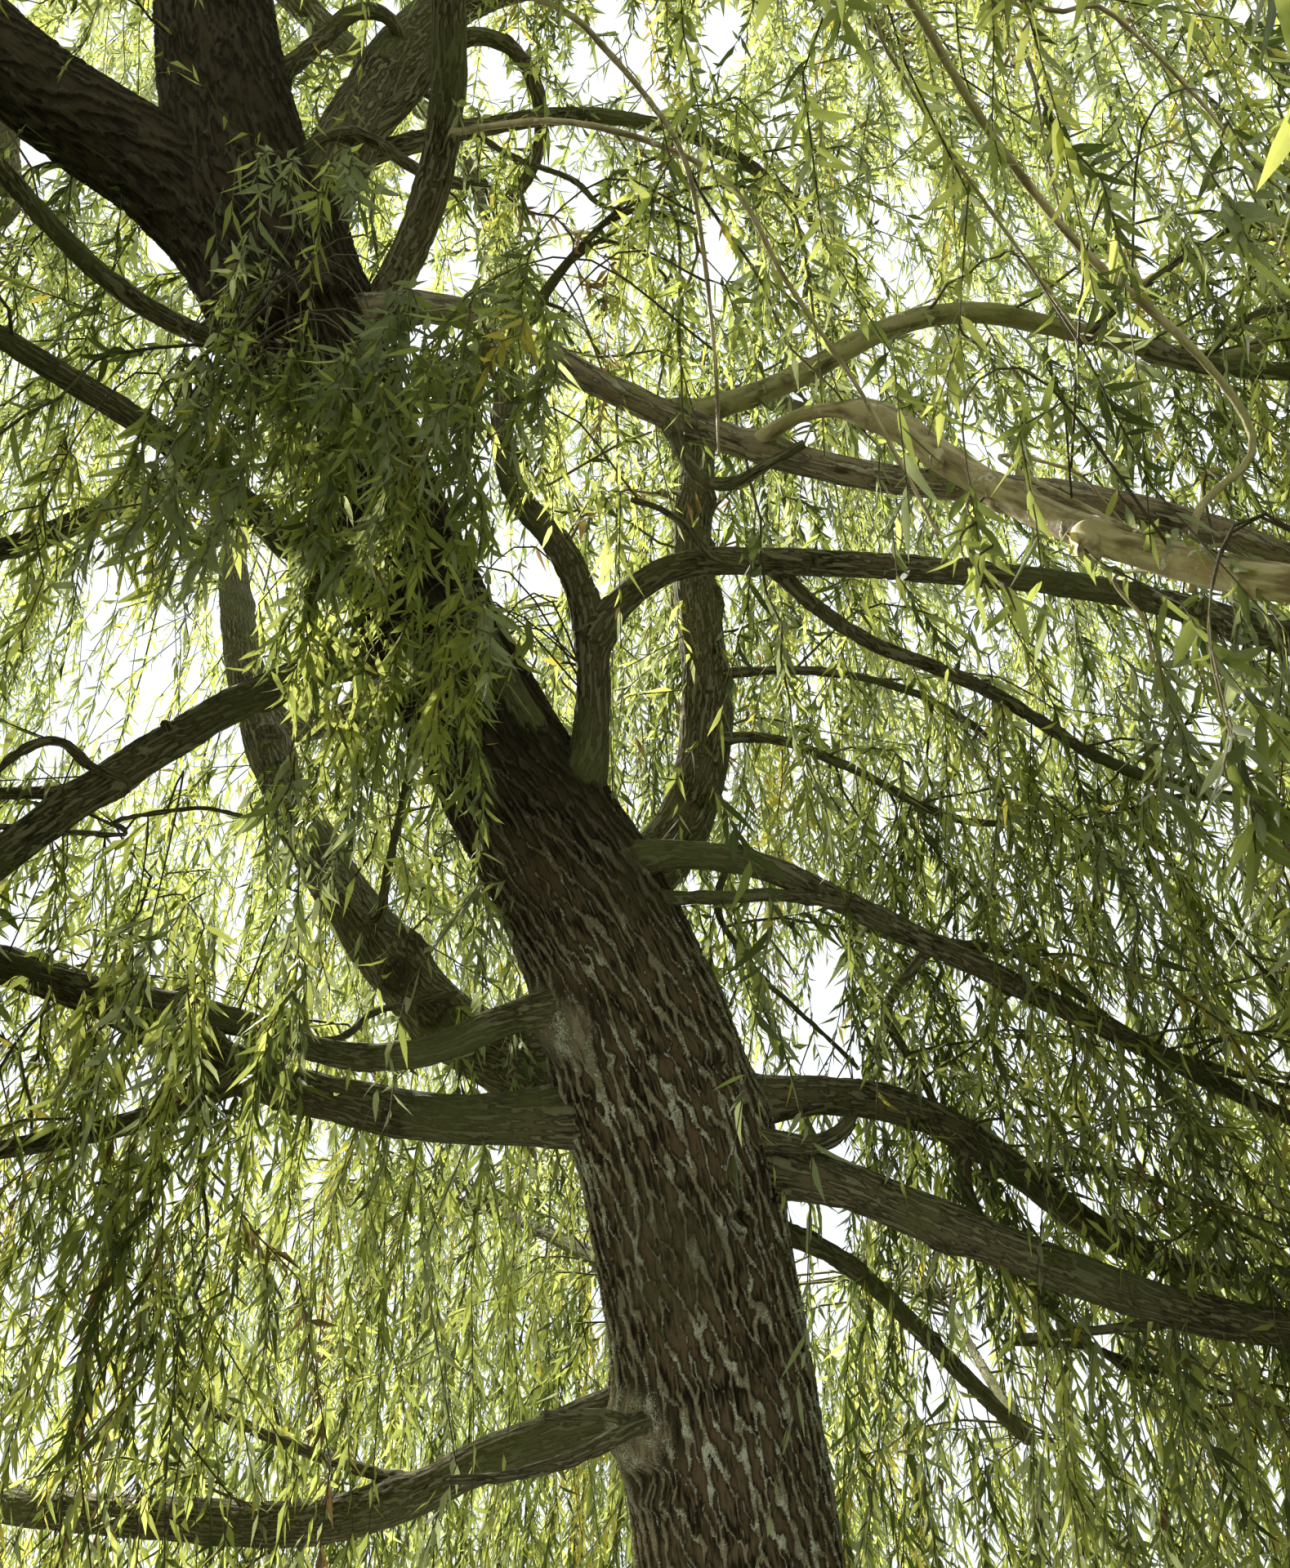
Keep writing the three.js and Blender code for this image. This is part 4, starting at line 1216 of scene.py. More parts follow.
    def keeps(self, lines: Array, near_share: float, front_share: float, luck: Array) -> Array:
        """Which lines stay.

        Args:
            lines: Lines of points, (n, points, 3).
            near_share: The share of the lines near the eye that stay.
            front_share: The share of the lines before a limb that stay.
            luck: A number from 0 to 1 for each line.

        Returns:
            A mask, (n,).
        """
        halves = (lines[:, 1:] + lines[:, :-1]) / 2
        points = np.concatenate([lines, halves, (halves + lines[:, 1:]) / 2], axis=1)
        pixels, depth = self.view.pixels(points)
        away = np.linalg.norm(points - self.eye, axis=2)
        lace = np.modf(luck * self.SECOND_LUCK)[0] < self.LACE
        blocked = (away < self.ROOM).any(axis=1) | self.in_opening(pixels, depth).any(axis=1) & ~lace
        near = (self.in_frame(pixels, depth) & (away < self.NEAR)).any(axis=1)
        front = self.hides_limb(pixels, depth).any(axis=1)
        share = np.where(near, near_share, 1.0) * np.where(front, front_share, 1.0)
        return ~blocked & (luck < share)


@dataclass(frozen=True)
class MassSize:
    """A mass of foliage by its driving sizes.

    It grows on from a limb's tip. The reach is its radius in plan, the rise its crown's height above
    that tip, and the skirt the height of its lowest leaves above ground.
    """

    limb: str
    reach: float
    rise: float
    skirt: float
    twigs: int

    @property
    def name(self) -> str:
        """The mass's name, after the limb that it grows on from."""
        return "foliage_" + (self.limb.partition("_")[2] or "crown")


MASSES = tuple(MassSize(*row) for row in (
    ("bough_left_low", 1.25, 0.65, 0.6, 4), ("bough_left_mid", 1.25, 0.65, 0.8, 4),
    ("bough_left_slender", 0.8, 0.45, 1.5, 3), ("stem_rear_left", 1.3, 0.7, 3.9, 4),
    ("stem_rear_mid", 1.25, 0.75, 3.9, 4), ("bough_rear_low", 1.25, 0.45, 0.7, 4),
    ("bough_right_thin", 1.2, 0.6, 0.7, 4), ("bough_right_mid", 1.1, 0.45, 0.7, 4),
    ("bough_right_upper", 1.15, 0.55, 0.8, 4), ("stem_rear_right", 1.25, 0.85, 4.2, 4),
    ("stem_inner", 0.56, 0.42, 3.7, 3), ("bough_right_dark", 0.8, 0.5, 2.3, 3),
    ("bough_right_fork", 0.8, 0.45, 3.3, 3), ("bough_left_dark", 1.2, 0.65, 0.7, 4),
    ("bough_left_front", 1.15, 0.65, 3.8, 4), ("bough_left_side", 1.05, 0.6, 4, 3),
    ("bough_left_thin", 1.2, 0.6, 0.9, 4), ("bough_front_low", 1.2, 0.5, 0.9, 4),
    ("bough_right_long", 1.15, 0.6, 0.8, 4), ("bough_right_near", 1.1, 0.6, 0.8, 4),
    ("bough_right_high", 1.05, 0.8, 4.4, 4), ("bough_upper_right", 1.2, 0.7, 4.7, 4),
    ("bough_front_high", 1.2, 0.7, 5, 4), ("bough_rear_high", 1.2, 0.9, 7.1, 3),
    ("bough_left_upper", 1.2, 0.7, 5.5, 4), ("bough_left_high", 1.2, 0.8, 5.5, 4),
    ("bough_right_top", 1.1, 0.8, 7.3, 3), ("leader", 1.25, 1.15, 7.6, 4),
))


class Mass:
    """The space of a mass: an upright round one under its limb's tip, from crown to skirt."""

    OFFSET = 0.72
    STRIP = 0.03
    STEM_LEAD = 0.5
    STEM_TOP = 0.7
    STEM_TAPER = 0.3

    def __init__(self, size: MassSize, limb: Limb) -> None:
        """Places the mass past the tip of its limb."""
        self.size = size
        self.limb = limb
        self.tip = limb.point(1.0)
        self.onward = limb.direction(1.0)
        level = unit(self.onward * (1.0, 1.0, 0.0))
        self.middle = self.tip + level * size.reach * self.OFFSET
        self.top = self.tip[2] + size.rise

    def shares_out(self, points: Array) -> Array:
        """Distances in plan from the mass's middle, in reaches."""
        return np.hypot(points[..., 0] - self.middle[0], points[..., 1] - self.middle[1]) / self.size.reach

    def spans(self, points: Array) -> Array:
        """Whether points lie between the mass's skirt and its top."""
        return (points[..., 2] >= self.size.skirt) & (points[..., 2] <= self.top)

    def holds(self, points: Array, masses: "Sequence[Mass]") -> Array:
        """Whether points lie in the mass's own space, nearer to it than to any mass at their height.

        Args:
            points: The points, (n, 3).
            masses: Every mass of the crown.

        Returns:
            A mask, (n,).
        """
        own = self.shares_out(points)
        inside = (own <= 1.0) & self.spans(points)
        for other in masses:
            if other is not self:
                inside &= ~other.spans(points) | (own + self.STRIP < other.shares_out(points))
        return inside

    def stem(self, share: Array) -> Array:
        """Points of the stem, which goes on from the limb's tip and arches to the mass's middle."""
        lead = self.tip + self.onward * self.size.reach * self.STEM_LEAD
        end = np.append(self.middle[:2], self.tip[2] + self.size.rise * self.STEM_TOP)
        part = np.asarray(share)[..., None]
        return self.tip * (1 - part) ** 2 + lead * 2 * part * (1 - part) + end * part ** 2


STRAND_VALUES = ("lines", "girths", "bare", "tints", "free")


@dataclass
class Strands:
    """Many thin twigs at once: their lines, girths, where their leaves begin, and their tints.

    Those that are free may hang before a limb in sight.
    """

    lines: Array
    girths: Array
    bare: Array
    tints: Array
    free: Array | None = None

    def __post_init__(self) -> None:
        """Takes them as not free where nothing is said."""
        if self.free is None:
            self.free = np.zeros(len(self.lines), bool)

    @property
    def lengths(self) -> Array:
        """The strands' lengths."""
        return np.linalg.norm(np.diff(self.lines, axis=1), axis=2).sum(axis=1)

    def chosen(self, which: Array) -> "Strands":
        """The strands that a mask or list picks."""
        return Strands(*(getattr(self, key)[which] for key in STRAND_VALUES))

    def at(self, owner: Array, share: Array) -> tuple[Array, Array]:
        """Places and unit directions on the strands.

        Args:
            owner: Which strand each place is on, (n,).
            share: The share of that strand's length, (n,).

        Returns:
            Places and directions, each (n, 3).
        """
        last = self.lines.shape[1] - 1
        place = np.clip(share, 0.0, 1.0) * last
        index = np.minimum(place.astype(int), last - 1)
        start, end = self.lines[owner, index], self.lines[owner, index + 1]
        return start + (end - start) * (place - index)[:, None], unit(end - start)

    def coarser(self) -> "Strands":
        """The strands with every second point left out."""
        return Strands(self.lines[:, ::2], self.girths[:, ::2], self.bare, self.tints, self.free)

    def skin(self, name: str, sides: int) -> MeshData:
        """The strands as thin prisms, closed where they have three sides.

        Args:
            name: The mesh's name.
            sides: How many sides each has.

        Returns:
            The mesh data.
        """
        count, rings, _ = self.lines.shape
        ways = unit(np.gradient(self.lines, axis=1))
        plan = unit((self.lines[:, -1] - self.lines[:, 0]) * (1.0, 1.0, 0.0) + (0.002, 0.001, 0.0))
        across = np.stack([-plan[:, 1], plan[:, 0], np.zeros(count)], axis=-1)[:, None]
        across = squared(across, ways)
        over = np.cross(ways, across)
        angle = np.arange(sides) * 2 * math.pi / sides
        ring = across[:, :, None] * np.cos(angle)[:, None] + over[:, :, None] * np.sin(angle)[:, None]
        points = self.lines[:, :, None] + ring * (self.girths / 2.0)[:, :, None, None]
        index = np.arange(count * rings * sides).reshape(count, rings, sides)
        onward = np.roll(index, -1, axis=2)
        walls = np.stack([index[:, :-1], onward[:, :-1], onward[:, 1:], index[:, 1:]], axis=-1).reshape(-1, 4)
        caps = []
        if sides == 3:
            for end, order in ((0, (2, 1, 0)), (rings - 1, (0, 1, 2))):
                cap = index[:, end][:, order]
                caps.append(np.hstack([cap, np.full((count, 1), -1)]))
        return MeshData(name, points.reshape(-1, 3), np.vstack([walls] + caps))


def joined(parts: Sequence[Strands]) -> Strands:
    """Strands with as many points each, put together."""
    return Strands(*(np.concatenate([getattr(part, key) for part in parts]) for key in STRAND_VALUES))


@dataclass(frozen=True)
class TwigRule:
    """How twigs arch out from a mass's stem and from the limbs, how their shoots hang, and how many stay.

    A girth is given at a twig's root and tip. What is named kept is a share of the lines near the eye and a
    share of those before a limb. What is named unseen is a share of the lines that are out of the picture.
    """

    finer: int = 15
    unseen: float = 0.42
    root: tuple[float, float] = (0.3, 0.98)
    out: tuple[float, float] = (0.1, 0.97)
    pulled_in: tuple[float, ...] = (1.0, 0.8, 0.6, 0.4)
    stray: float = 0.3
    lift: float = 0.3
    arch: tuple[tuple[float, float], ...] = ((0, 0), (0.42, 1), (0.82, 0.75), (1, -0.7))
    tip_sway: float = 0.045
    uneven: float = 0.28
    points: int = 13
    girth: tuple[float, float] = (0.016, 0.003)
    bare: float = 0.1
    kept: tuple[float, float] = (0.3, 0.6)
    most_layers: float = 2.35
    side_length: tuple[float, float] = (0.55, 1.7)
    side_gap: float = 0.16
    side_from: float = 0.25
    side_girth: tuple[float, float] = (0.011, 0.003)
    side_bare: float = 0.15
    side_rise: float = 0.35
    side_along: tuple[float, float] = (0.3, 1.0)
    side_bend: tuple[float, float] = (0.4, 0.9)
    side_kept: tuple[float, float] = (0.12, 0.4)
    side_unseen: float = 0.7
    shoots: int = 24
    shoot_span: tuple[float, float] = (0.12, 0.93)
    shoot_length: tuple[float, float] = (0.3, 2.3)
    shoot_girth: tuple[float, float] = (0.0052, 0.0022)
    shoot_bare: float = 0.06
    shoot_points: int = 5
    shoot_along: tuple[float, float] = (0.2, 0.9)
    shoot_bend: tuple[float, float] = (0.12, 0.3)
    shoot_jitter: float = 0.05
    shoot_short: float = 1.7
    shoot_kept: tuple[float, float] = (0.1, 0.35)
    shoot_unseen: float = 0.4
    limb_shoot_gap: tuple[float, float] = (0.025, 0.02)
    thick_limb: float = 0.13
    limb_shoot_from: float = 0.2
    limb_shoot_length: tuple[float, float] = (0.3, 1.7)
    limb_shoot_bare: float = 0.1
    limb_shoot_kept: tuple[float, float] = (0.2, 0.45)
    limb_spray: int = 6
    limb_shoot_short: float = 1.4
    to_foot: float = 0.8
    curtain_girth: tuple[float, float] = (0.007, 0.0025)
    curtain_upto: float = 0.98
    curtain_span: float = 0.75
    clear_ground: tuple[float, float] = (0.7, 0.5)
    least_length: tuple[float, float] = (0.3, 0.2)


# Shares of the tints; the darkest tint is painted shade.
TINT_SHARES = {Tint.FRESH: 0.28, Tint.GREEN: 0.26, Tint.DEEP: 0.19, Tint.SILVER: 0.225, Tint.YELLOW: 0.03,
               Tint.DRY: 0.015}
TINTS = tuple(TINT_SHARES)
CURTAIN_TINTS = tuple(TINTS.index(tint) for tint in (Tint.FRESH, *(Tint.GREEN,) * 2, *(Tint.SILVER,) * 3))


def deal_tints(dice: np.random.Generator, count: int) -> Array:
    """Tints by chance, as places in the list of tints."""
    return dice.choice(len(TINTS), count, p=list(TINT_SHARES.values()))


def tapered(count: int, points: int, ends: tuple[float, float]) -> Array:
    """Girths that fall evenly from root to tip, (count, points)."""
    return np.repeat(np.linspace(ends[0], ends[1], points)[None], count, axis=0)


class Crown:
    """Every twig of the crown, grown on from the limbs by one rule."""

    SWAY = 0.2
    KEEP_TINT = 0.72
    PROUD = 0.08
    LOWEST = 0.45
    DROP = 0.35
    PERCHES = np.linspace(0.25, 0.95, 16)
    PERCH_GIRTH = 0.12
    ANY_COVER = 99.0
    TOO_LOW = 0.15
    TOO_LOW_COST = 9.0
    LEAST_HANG = 0.1
    REACH_LIFT = (0.06, 0.3)
    REACH_KNOTS = (0.5, 0.92)
    REACH_HIGH = 0.6

    def __init__(self, masses: Sequence[Mass], limbs: Sequence[Limb], sight: Sightlines, seed: int) -> None:
        """Keeps what the twigs grow on.

        Args:
            masses: The masses' spaces.
            limbs: The limbs and thin branches that side shoots grow on.
            sight: What stays in sight from under the crown.
            seed: The seed of every draw.
        """
        self.masses = masses
        self.limbs = limbs
        self.sight = sight
        self.dice = np.random.default_rng(seed)
        self.rule = TwigRule()
        self.perches = np.concatenate([limb.point(self.PERCHES) for limb in limbs
                                       if 2 * limb.radius(0.5) < self.PERCH_GIRTH])

    def kept(self, strands: Strands, near_share: float, front_share: float) -> Strands:
        """The strands that stay in the crown's outline and out of the sightlines.

        Args:
            strands: Twigs or shoots.
            near_share: The share of those near the eye that stay.
            front_share: The share of those before a limb that stay.

        Returns:
            The strands that stay.
        """
        luck = self.dice.random(len(strands.lines))
        stay = self.sight.keeps(strands.lines, near_share, front_share, luck)
        low, high = (np.array(corner) for corner in CAD_BOX)
        ends = strands.lines[:, -1]
        stay &= ((strands.lines > low - self.PROUD) & (strands.lines < high + self.PROUD)).all(axis=(1, 2))
        return strands.chosen(stay & (ends[:, 2] > self.LOWEST))

    def arching(self, mass: Mass) -> Strands:
        """The twigs that arch from a mass's stem and hang to its skirt, each pulled in to where it has room.

        Args:
            mass: The mass.

        Returns:
            The twigs.
        """
        rule, size, dice = self.rule, mass.size, self.dice
        count = size.twigs * rule.finer
        turn = np.arange(count)
        feet = mass.stem(mix(*rule.root, (turn + 0.5) / count))
        heading = math.atan2(mass.onward[1], mass.onward[0]) + turn * GOLDEN_ANGLE
        heading = heading + dice.uniform(-rule.stray, rule.stray, count)
        out = size.reach * mix(*rule.out, np.sqrt(dice.random(count)))
        ends = mix(size.skirt, feet[:, 2], rule.uneven * dice.random(count) ** rule.to_foot)
        lines = []
        for index in range(count):
            for share in rule.pulled_in:
                line = self.arched_line(mass, feet[index], heading[index], out[index] * share, ends[index])
                if mass.holds(line[1:], self.masses).all():
                    lines.append(line)
                    break
        lines = np.array(lines).reshape(-1, rule.points, 3)
        made = len(lines)
        return Strands(lines, tapered(made, rule.points, rule.girth), np.full(made, rule.bare),
                       deal_tints(dice, made))

    def arched_line(self, mass: Mass, foot: Array, heading: float, out: float, drop: float) -> Array:
        """One arching twig's line, as points evenly spread along a smooth curve.

        Args:
            mass: The mass that it belongs to.
            foot: Where it leaves the stem.
            heading: The way it goes out from the mass's middle, in radians.
            out: How far out it hangs.
            drop: The height of its tip.

        Returns:
            Points from the foot to the tip, (points, 3).
        """
        end = mass.middle + np.array([math.cos(heading), math.sin(heading), 0.0]) * out
        lift = mass.size.rise * self.rule.lift
        knots = [np.append((foot + (end - foot) * share)[:2], foot[2] + lift * high)
                 for share, high in self.rule.arch]
        sway = self.dice.normal(0.0, self.rule.tip_sway, 2)
        low = min(drop, knots[-1][2] - self.LEAST_HANG)
        knots.append(np.append(end[:2] + sway, (knots[-1][2] + low) / 2))
        knots.append(np.append(end[:2], low))
        return even_curve(np.array(knots), self.rule.points)

    def hanging(self, feet: Array, outward: Array, length: Array, bend: Array, points: int) -> Array:
        """Lines that leave their feet outward and bend over to hang.

        Args:
            feet: Where they start, (n, 3).
            outward: The unit directions that they leave in, (n, 3).
            length: Their lengths, (n,).
            bend: How far they run before they hang, (n,).
            points: How many points each has.

        Returns:
            The lines, (n, points, 3).
        """
        middles = (np.arange(points - 1) + 0.5) / (points - 1)
        turn = np.exp(-length[:, None] * middles / bend[:, None])[..., None]
        sway = self.dice.normal(0.0, self.SWAY, (len(feet), points - 1, 3)) * (1.0, 1.0, 0.0)
        ways = unit(outward[:, None] * turn - UP * (1 - turn) + sway)
        steps = ways * (length / (points - 1))[:, None, None]
        return np.concatenate([feet[:, None], feet[:, None] + np.cumsum(steps, axis=1)], axis=1)

    def shoots(self, feet: Array, ways: Array, length: Array, tints: Array, bare: float) -> Strands:
        """Side shoots that leave a twig or limb all round it and hang.

        Args:
            feet: Where they start, (n, 3).
            ways: The directions of what they grow on, (n, 3).
            length: Their lengths, (n,).
            tints: The tints of what they grow on.
            bare: The share of each that has no leaves.

        Returns:
            The shoots.
        """
        count, dice, rule = len(feet), self.dice, self.rule
        loose = squared(dice.normal(size=(count, 3)), ways)
        outward = unit(ways * dice.uniform(*rule.shoot_along, count)[:, None] + loose)
        bend = length * dice.uniform(*rule.shoot_bend, count)
        lines = self.hanging(feet, outward, length, bend, rule.shoot_points)
        tints = np.where(dice.random(count) < self.KEEP_TINT, tints, deal_tints(dice, count))
        girths = tapered(count, rule.shoot_points, rule.shoot_girth)
        return Strands(lines, girths, np.full(count, bare), tints)

    def side_twigs(self, limb: Limb) -> Strands:
        """Twigs that leave a limb all along it, arch over and hang.

        Args:
            limb: What they grow on.

        Returns:
            The twigs.
        """
        rule, dice = self.rule, self.dice
        count = max(2, round(limb.size.length / rule.side_gap))
        share = mix(LEAFY_FROM.get(limb.name, rule.side_from), 1.0, dice.random(count))
        feet, ways = limb.point(share), limb.direction(share)
        loose = dice.normal(size=(count, 3)) * (1.0, 1.0, 0.5) + UP * rule.side_rise
        outward = unit(ways * dice.uniform(*rule.side_along, count)[:, None] + squared(loose, ways))
        room = np.maximum(feet[:, 2] - rule.clear_ground[0], rule.least_length[0])
        length = np.minimum(mix(*rule.side_length, dice.random(count)), room)
        bend = length * dice.uniform(*rule.side_bend, count)
        lines = self.hanging(feet, outward, length, bend, rule.points)
        return Strands(lines, tapered(count, rule.points, rule.side_girth), np.full(count, rule.side_bare),
                       deal_tints(dice, count))

    def curtain(self, curtain: Curtain) -> tuple[Strands, Strands]:
        """The twigs that hang in one patch of the picture, each grown from the limb above it.

        Args:
            curtain: The patch.

        Returns:
            The twigs and their shoots.
        """
        dice, count, rule = self.dice, curtain.twigs, self.rule
        turn, out = dice.uniform(0.0, 2 * math.pi, count), np.sqrt(dice.random(count))
        tips = self.sight.view.place(curtain.column + curtain.wide * out * np.cos(turn),
                                     curtain.row + curtain.high * out * np.sin(turn),
                                     dice.uniform(*curtain.depths, count))
        lines = np.array([self.reaching_line(tip) for tip in tips])
        lines = lines[np.linalg.norm((lines[:, -1] - lines[:, 0])[:, :2], axis=1) < rule.curtain_span]
        count = len(lines)
        twigs = Strands(lines, tapered(count, rule.points, rule.curtain_girth), np.full(count, curtain.bare),
                        dice.choice(CURTAIN_TINTS, count), np.ones(count, bool))
        shoots = self.shoots_on_twigs(twigs, curtain.shoots, (curtain.bare, rule.curtain_upto),
                                      curtain.shoot_length)
        shoots.free[:] = True
        return twigs, shoots

    def reaching_line(self, tip: Array) -> Array:
        """A twig's line that leaves the nearest limb above a place, arches over and hangs down to it.

        Args:
            tip: The place, (3,).

        Returns:
            Points from the foot to the tip, (points, 3).
        """
        off = self.perches - tip
        level = np.linalg.norm(off[:, :2], axis=1)
        cost = level + np.abs(off[:, 2] - self.DROP) + self.TOO_LOW_COST * (off[:, 2] < self.TOO_LOW)
        foot = self.perches[np.argmin(cost)]
        lift = self.REACH_LIFT[0] + self.REACH_LIFT[1] * np.linalg.norm((foot - tip)[:2])
        top = max(foot[2], tip[2] + self.LEAST_HANG) + lift
        middle, past = ((foot + (tip - foot) * share)[:2] for share in self.REACH_KNOTS)
        knots = [foot, np.append(middle, top), np.append(past, mix(tip[2], top, self.REACH_HIGH)), tip]
        return even_curve(np.array(knots), self.rule.points)

    def shoots_on_twigs(self, twigs: Strands, each: int, upto: tuple[float, float],
                        sizes: tuple[float, float]) -> Strands:
        """Side shoots along arching twigs.

        Args:
            twigs: The twigs.
            each: How many shoots each has.
            upto: The shares of a twig that they start between.
            sizes: Their least and greatest lengths.

        Returns:
            The shoots.
        """
        count, rule = len(twigs.lines), self.rule
        owner = np.repeat(np.arange(count), each)
        share = np.tile((np.arange(each) + 0.5) / each, count)
        jitter = self.dice.normal(0.0, rule.shoot_jitter, len(share))
        share = mix(*upto, np.clip(share + jitter, 0.0, 1.0))
        feet, ways = twigs.at(owner, share)
        length = mix(*sizes, self.dice.random(len(owner)) ** rule.shoot_short)
        room = np.maximum(feet[:, 2] - rule.clear_ground[1], rule.least_length[1])
        return self.shoots(feet, ways, np.minimum(length, room), twigs.tints[owner], rule.shoot_bare)

    def shoots_on_limb(self, limb: Limb) -> Strands:
        """Side shoots along a limb.

        Args:
            limb: What they grow on.

        Returns:
            The shoots.
        """
        rule = self.rule
        start = LEAFY_FROM.get(limb.name, rule.limb_shoot_from)
        gap = rule.limb_shoot_gap[int(limb.radius(0.0) > rule.thick_limb)]
        count = max(1, round(limb.size.length * (1.0 - start) / gap))
        share = start + (1.0 - start) * self.dice.random(count) ** rule.to_foot
        ways = limb.direction(share)
        feet = limb.point(share)
        room = np.maximum(feet[:, 2] - rule.clear_ground[0], rule.least_length[1])
        longest = mix(*rule.limb_shoot_length, self.dice.random(count) ** rule.limb_shoot_short)
        longest = np.minimum(longest, room)
        sprays = deal_tints(self.dice, max(1, count // rule.limb_spray))
        tints = sprays[np.minimum((share * len(sprays)).astype(int), len(sprays) - 1)]
        return self.shoots(feet, ways, longest, tints, rule.limb_shoot_bare)

    def fewer_unseen(self, strands: Strands, share: float) -> Strands:
        """The strands that are in the picture, and a share of the rest."""
        seen = self.sight.seen(strands.lines)
        return strands.chosen(seen | (self.dice.random(len(seen)) < share))

    def grow(self) -> tuple[Strands, Strands]:
        """Grows the crown.

        Returns:
            Every arching twig, and every side shoot.
        """
        rule = self.rule
        twigs = [self.arching(mass) for mass in self.masses]
        twigs = joined([strands for strands in twigs if len(strands.lines)])
        sides = joined([self.side_twigs(limb) for limb in self.limbs])
        twigs = joined([self.kept(self.fewer_unseen(twigs, rule.unseen), *rule.kept),
                        self.kept(self.fewer_unseen(sides, rule.side_unseen), *rule.side_kept)])
        shoots = self.shoots_on_twigs(twigs, rule.shoots, rule.shoot_span, rule.shoot_length)
        shoots = [self.kept(self.fewer_unseen(shoots, rule.shoot_unseen), *rule.shoot_kept)]
        hung = [self.curtain(curtain) for curtain in CURTAINS]
        curtains, sprays = (self.kept(joined(list(parts)), 1.0, 1.0) for parts in zip(*hung))
        twigs = joined([twigs, curtains])
        for strands in (twigs, sprays):
            self.sight.even_out(strands, self.ANY_COVER, np.arange(len(strands.lines)))
        for limb in self.limbs:
            shoots.append(self.kept(self.shoots_on_limb(limb), *rule.limb_shoot_kept))
        shoots = joined(shoots)
        offered = len(shoots.lines)
        shoots = shoots.chosen(self.sight.even_out(shoots, rule.most_layers, self.dice.permutation(offered)))
        shoots = joined([shoots, sprays])
        LOG.info("%d arching twigs, %d side shoots of %d", len(twigs.lines), len(shoots.lines), offered)
        return twigs, shoots


@dataclass(frozen=True)
class LeafForm:
    """A leaf's outline: for each corner its share of the half width, of the length and of the fold."""

    corners: tuple[tuple[float, float, float], ...]
    faces: tuple[tuple[int, int, int, int], ...]

    @property
    def triangles(self) -> int:
        """How many triangles the form has."""
        return sum(1 if face[3] < 0 else 2 for face in self.faces)


FAR_LEAF = LeafForm(((0, 0, 0), (1, 0.4, 1), (0, 1, 0), (-1, 0.4, 1)), ((0, 1, 2, -1), (0, 2, 3, -1)))
MIDDLE_LEAF = LeafForm(
    ((0, 0, 0), (0.9, 0.26, 1), (-0.9, 0.26, 1), (0.82, 0.62, 1), (-0.82, 0.62, 1), (0, 1, 0)),
    ((0, 1, 2, -1), (1, 3, 4, 2), (3, 5, 4, -1)))
NEAR_LEAF = LeafForm(
    ((0, 0, 0), (0.66, 0.16, 0.7), (0, 0.16, 0), (-0.66, 0.16, 0.7), (1, 0.4, 1), (0, 0.4, 0), (-1, 0.4, 1),
     (0.66, 0.72, 0.7), (0, 0.72, 0), (-0.66, 0.72, 0.7), (0, 1, 0)),
    ((0, 1, 2, -1), (0, 2, 3, -1), (1, 4, 5, 2), (2, 5, 6, 3), (4, 7, 8, 5), (5, 8, 9, 6),
     (7, 10, 8, -1), (8, 10, 9, -1)))


@dataclass(frozen=True)
class LeafRule:
    """How leaves stand on their twigs: lengths, gaps and distances in metres, and angles in radians."""

    length: tuple[float, float] = (0.042, 0.088)
    length_unseen: tuple[float, float] = (0.14, 0.21)
    width: tuple[float, float] = (0.17, 0.28)
    near_length: float = 1.2
    gap: float = 0.0155
    gap_unseen: float = 0.066
    front_share: float = 0.3
    lace: float = 0.5
    spread: tuple[float, float] = (0.3, 1.3)
    droop: tuple[float, float] = (0.1, 0.9)
    fold: float = 0.16
    sag: float = 0.28
    jitter: float = 0.7
    turn: float = 6.28
    roll: float = 0.45
    curl: float = 0.48
    shrink: float = 0.35
    stray_tint: float = 0.22
    near: float = 2.2
    middle: float = 3.2
    proud: float = 0.12
    most_faces: int = 190_000


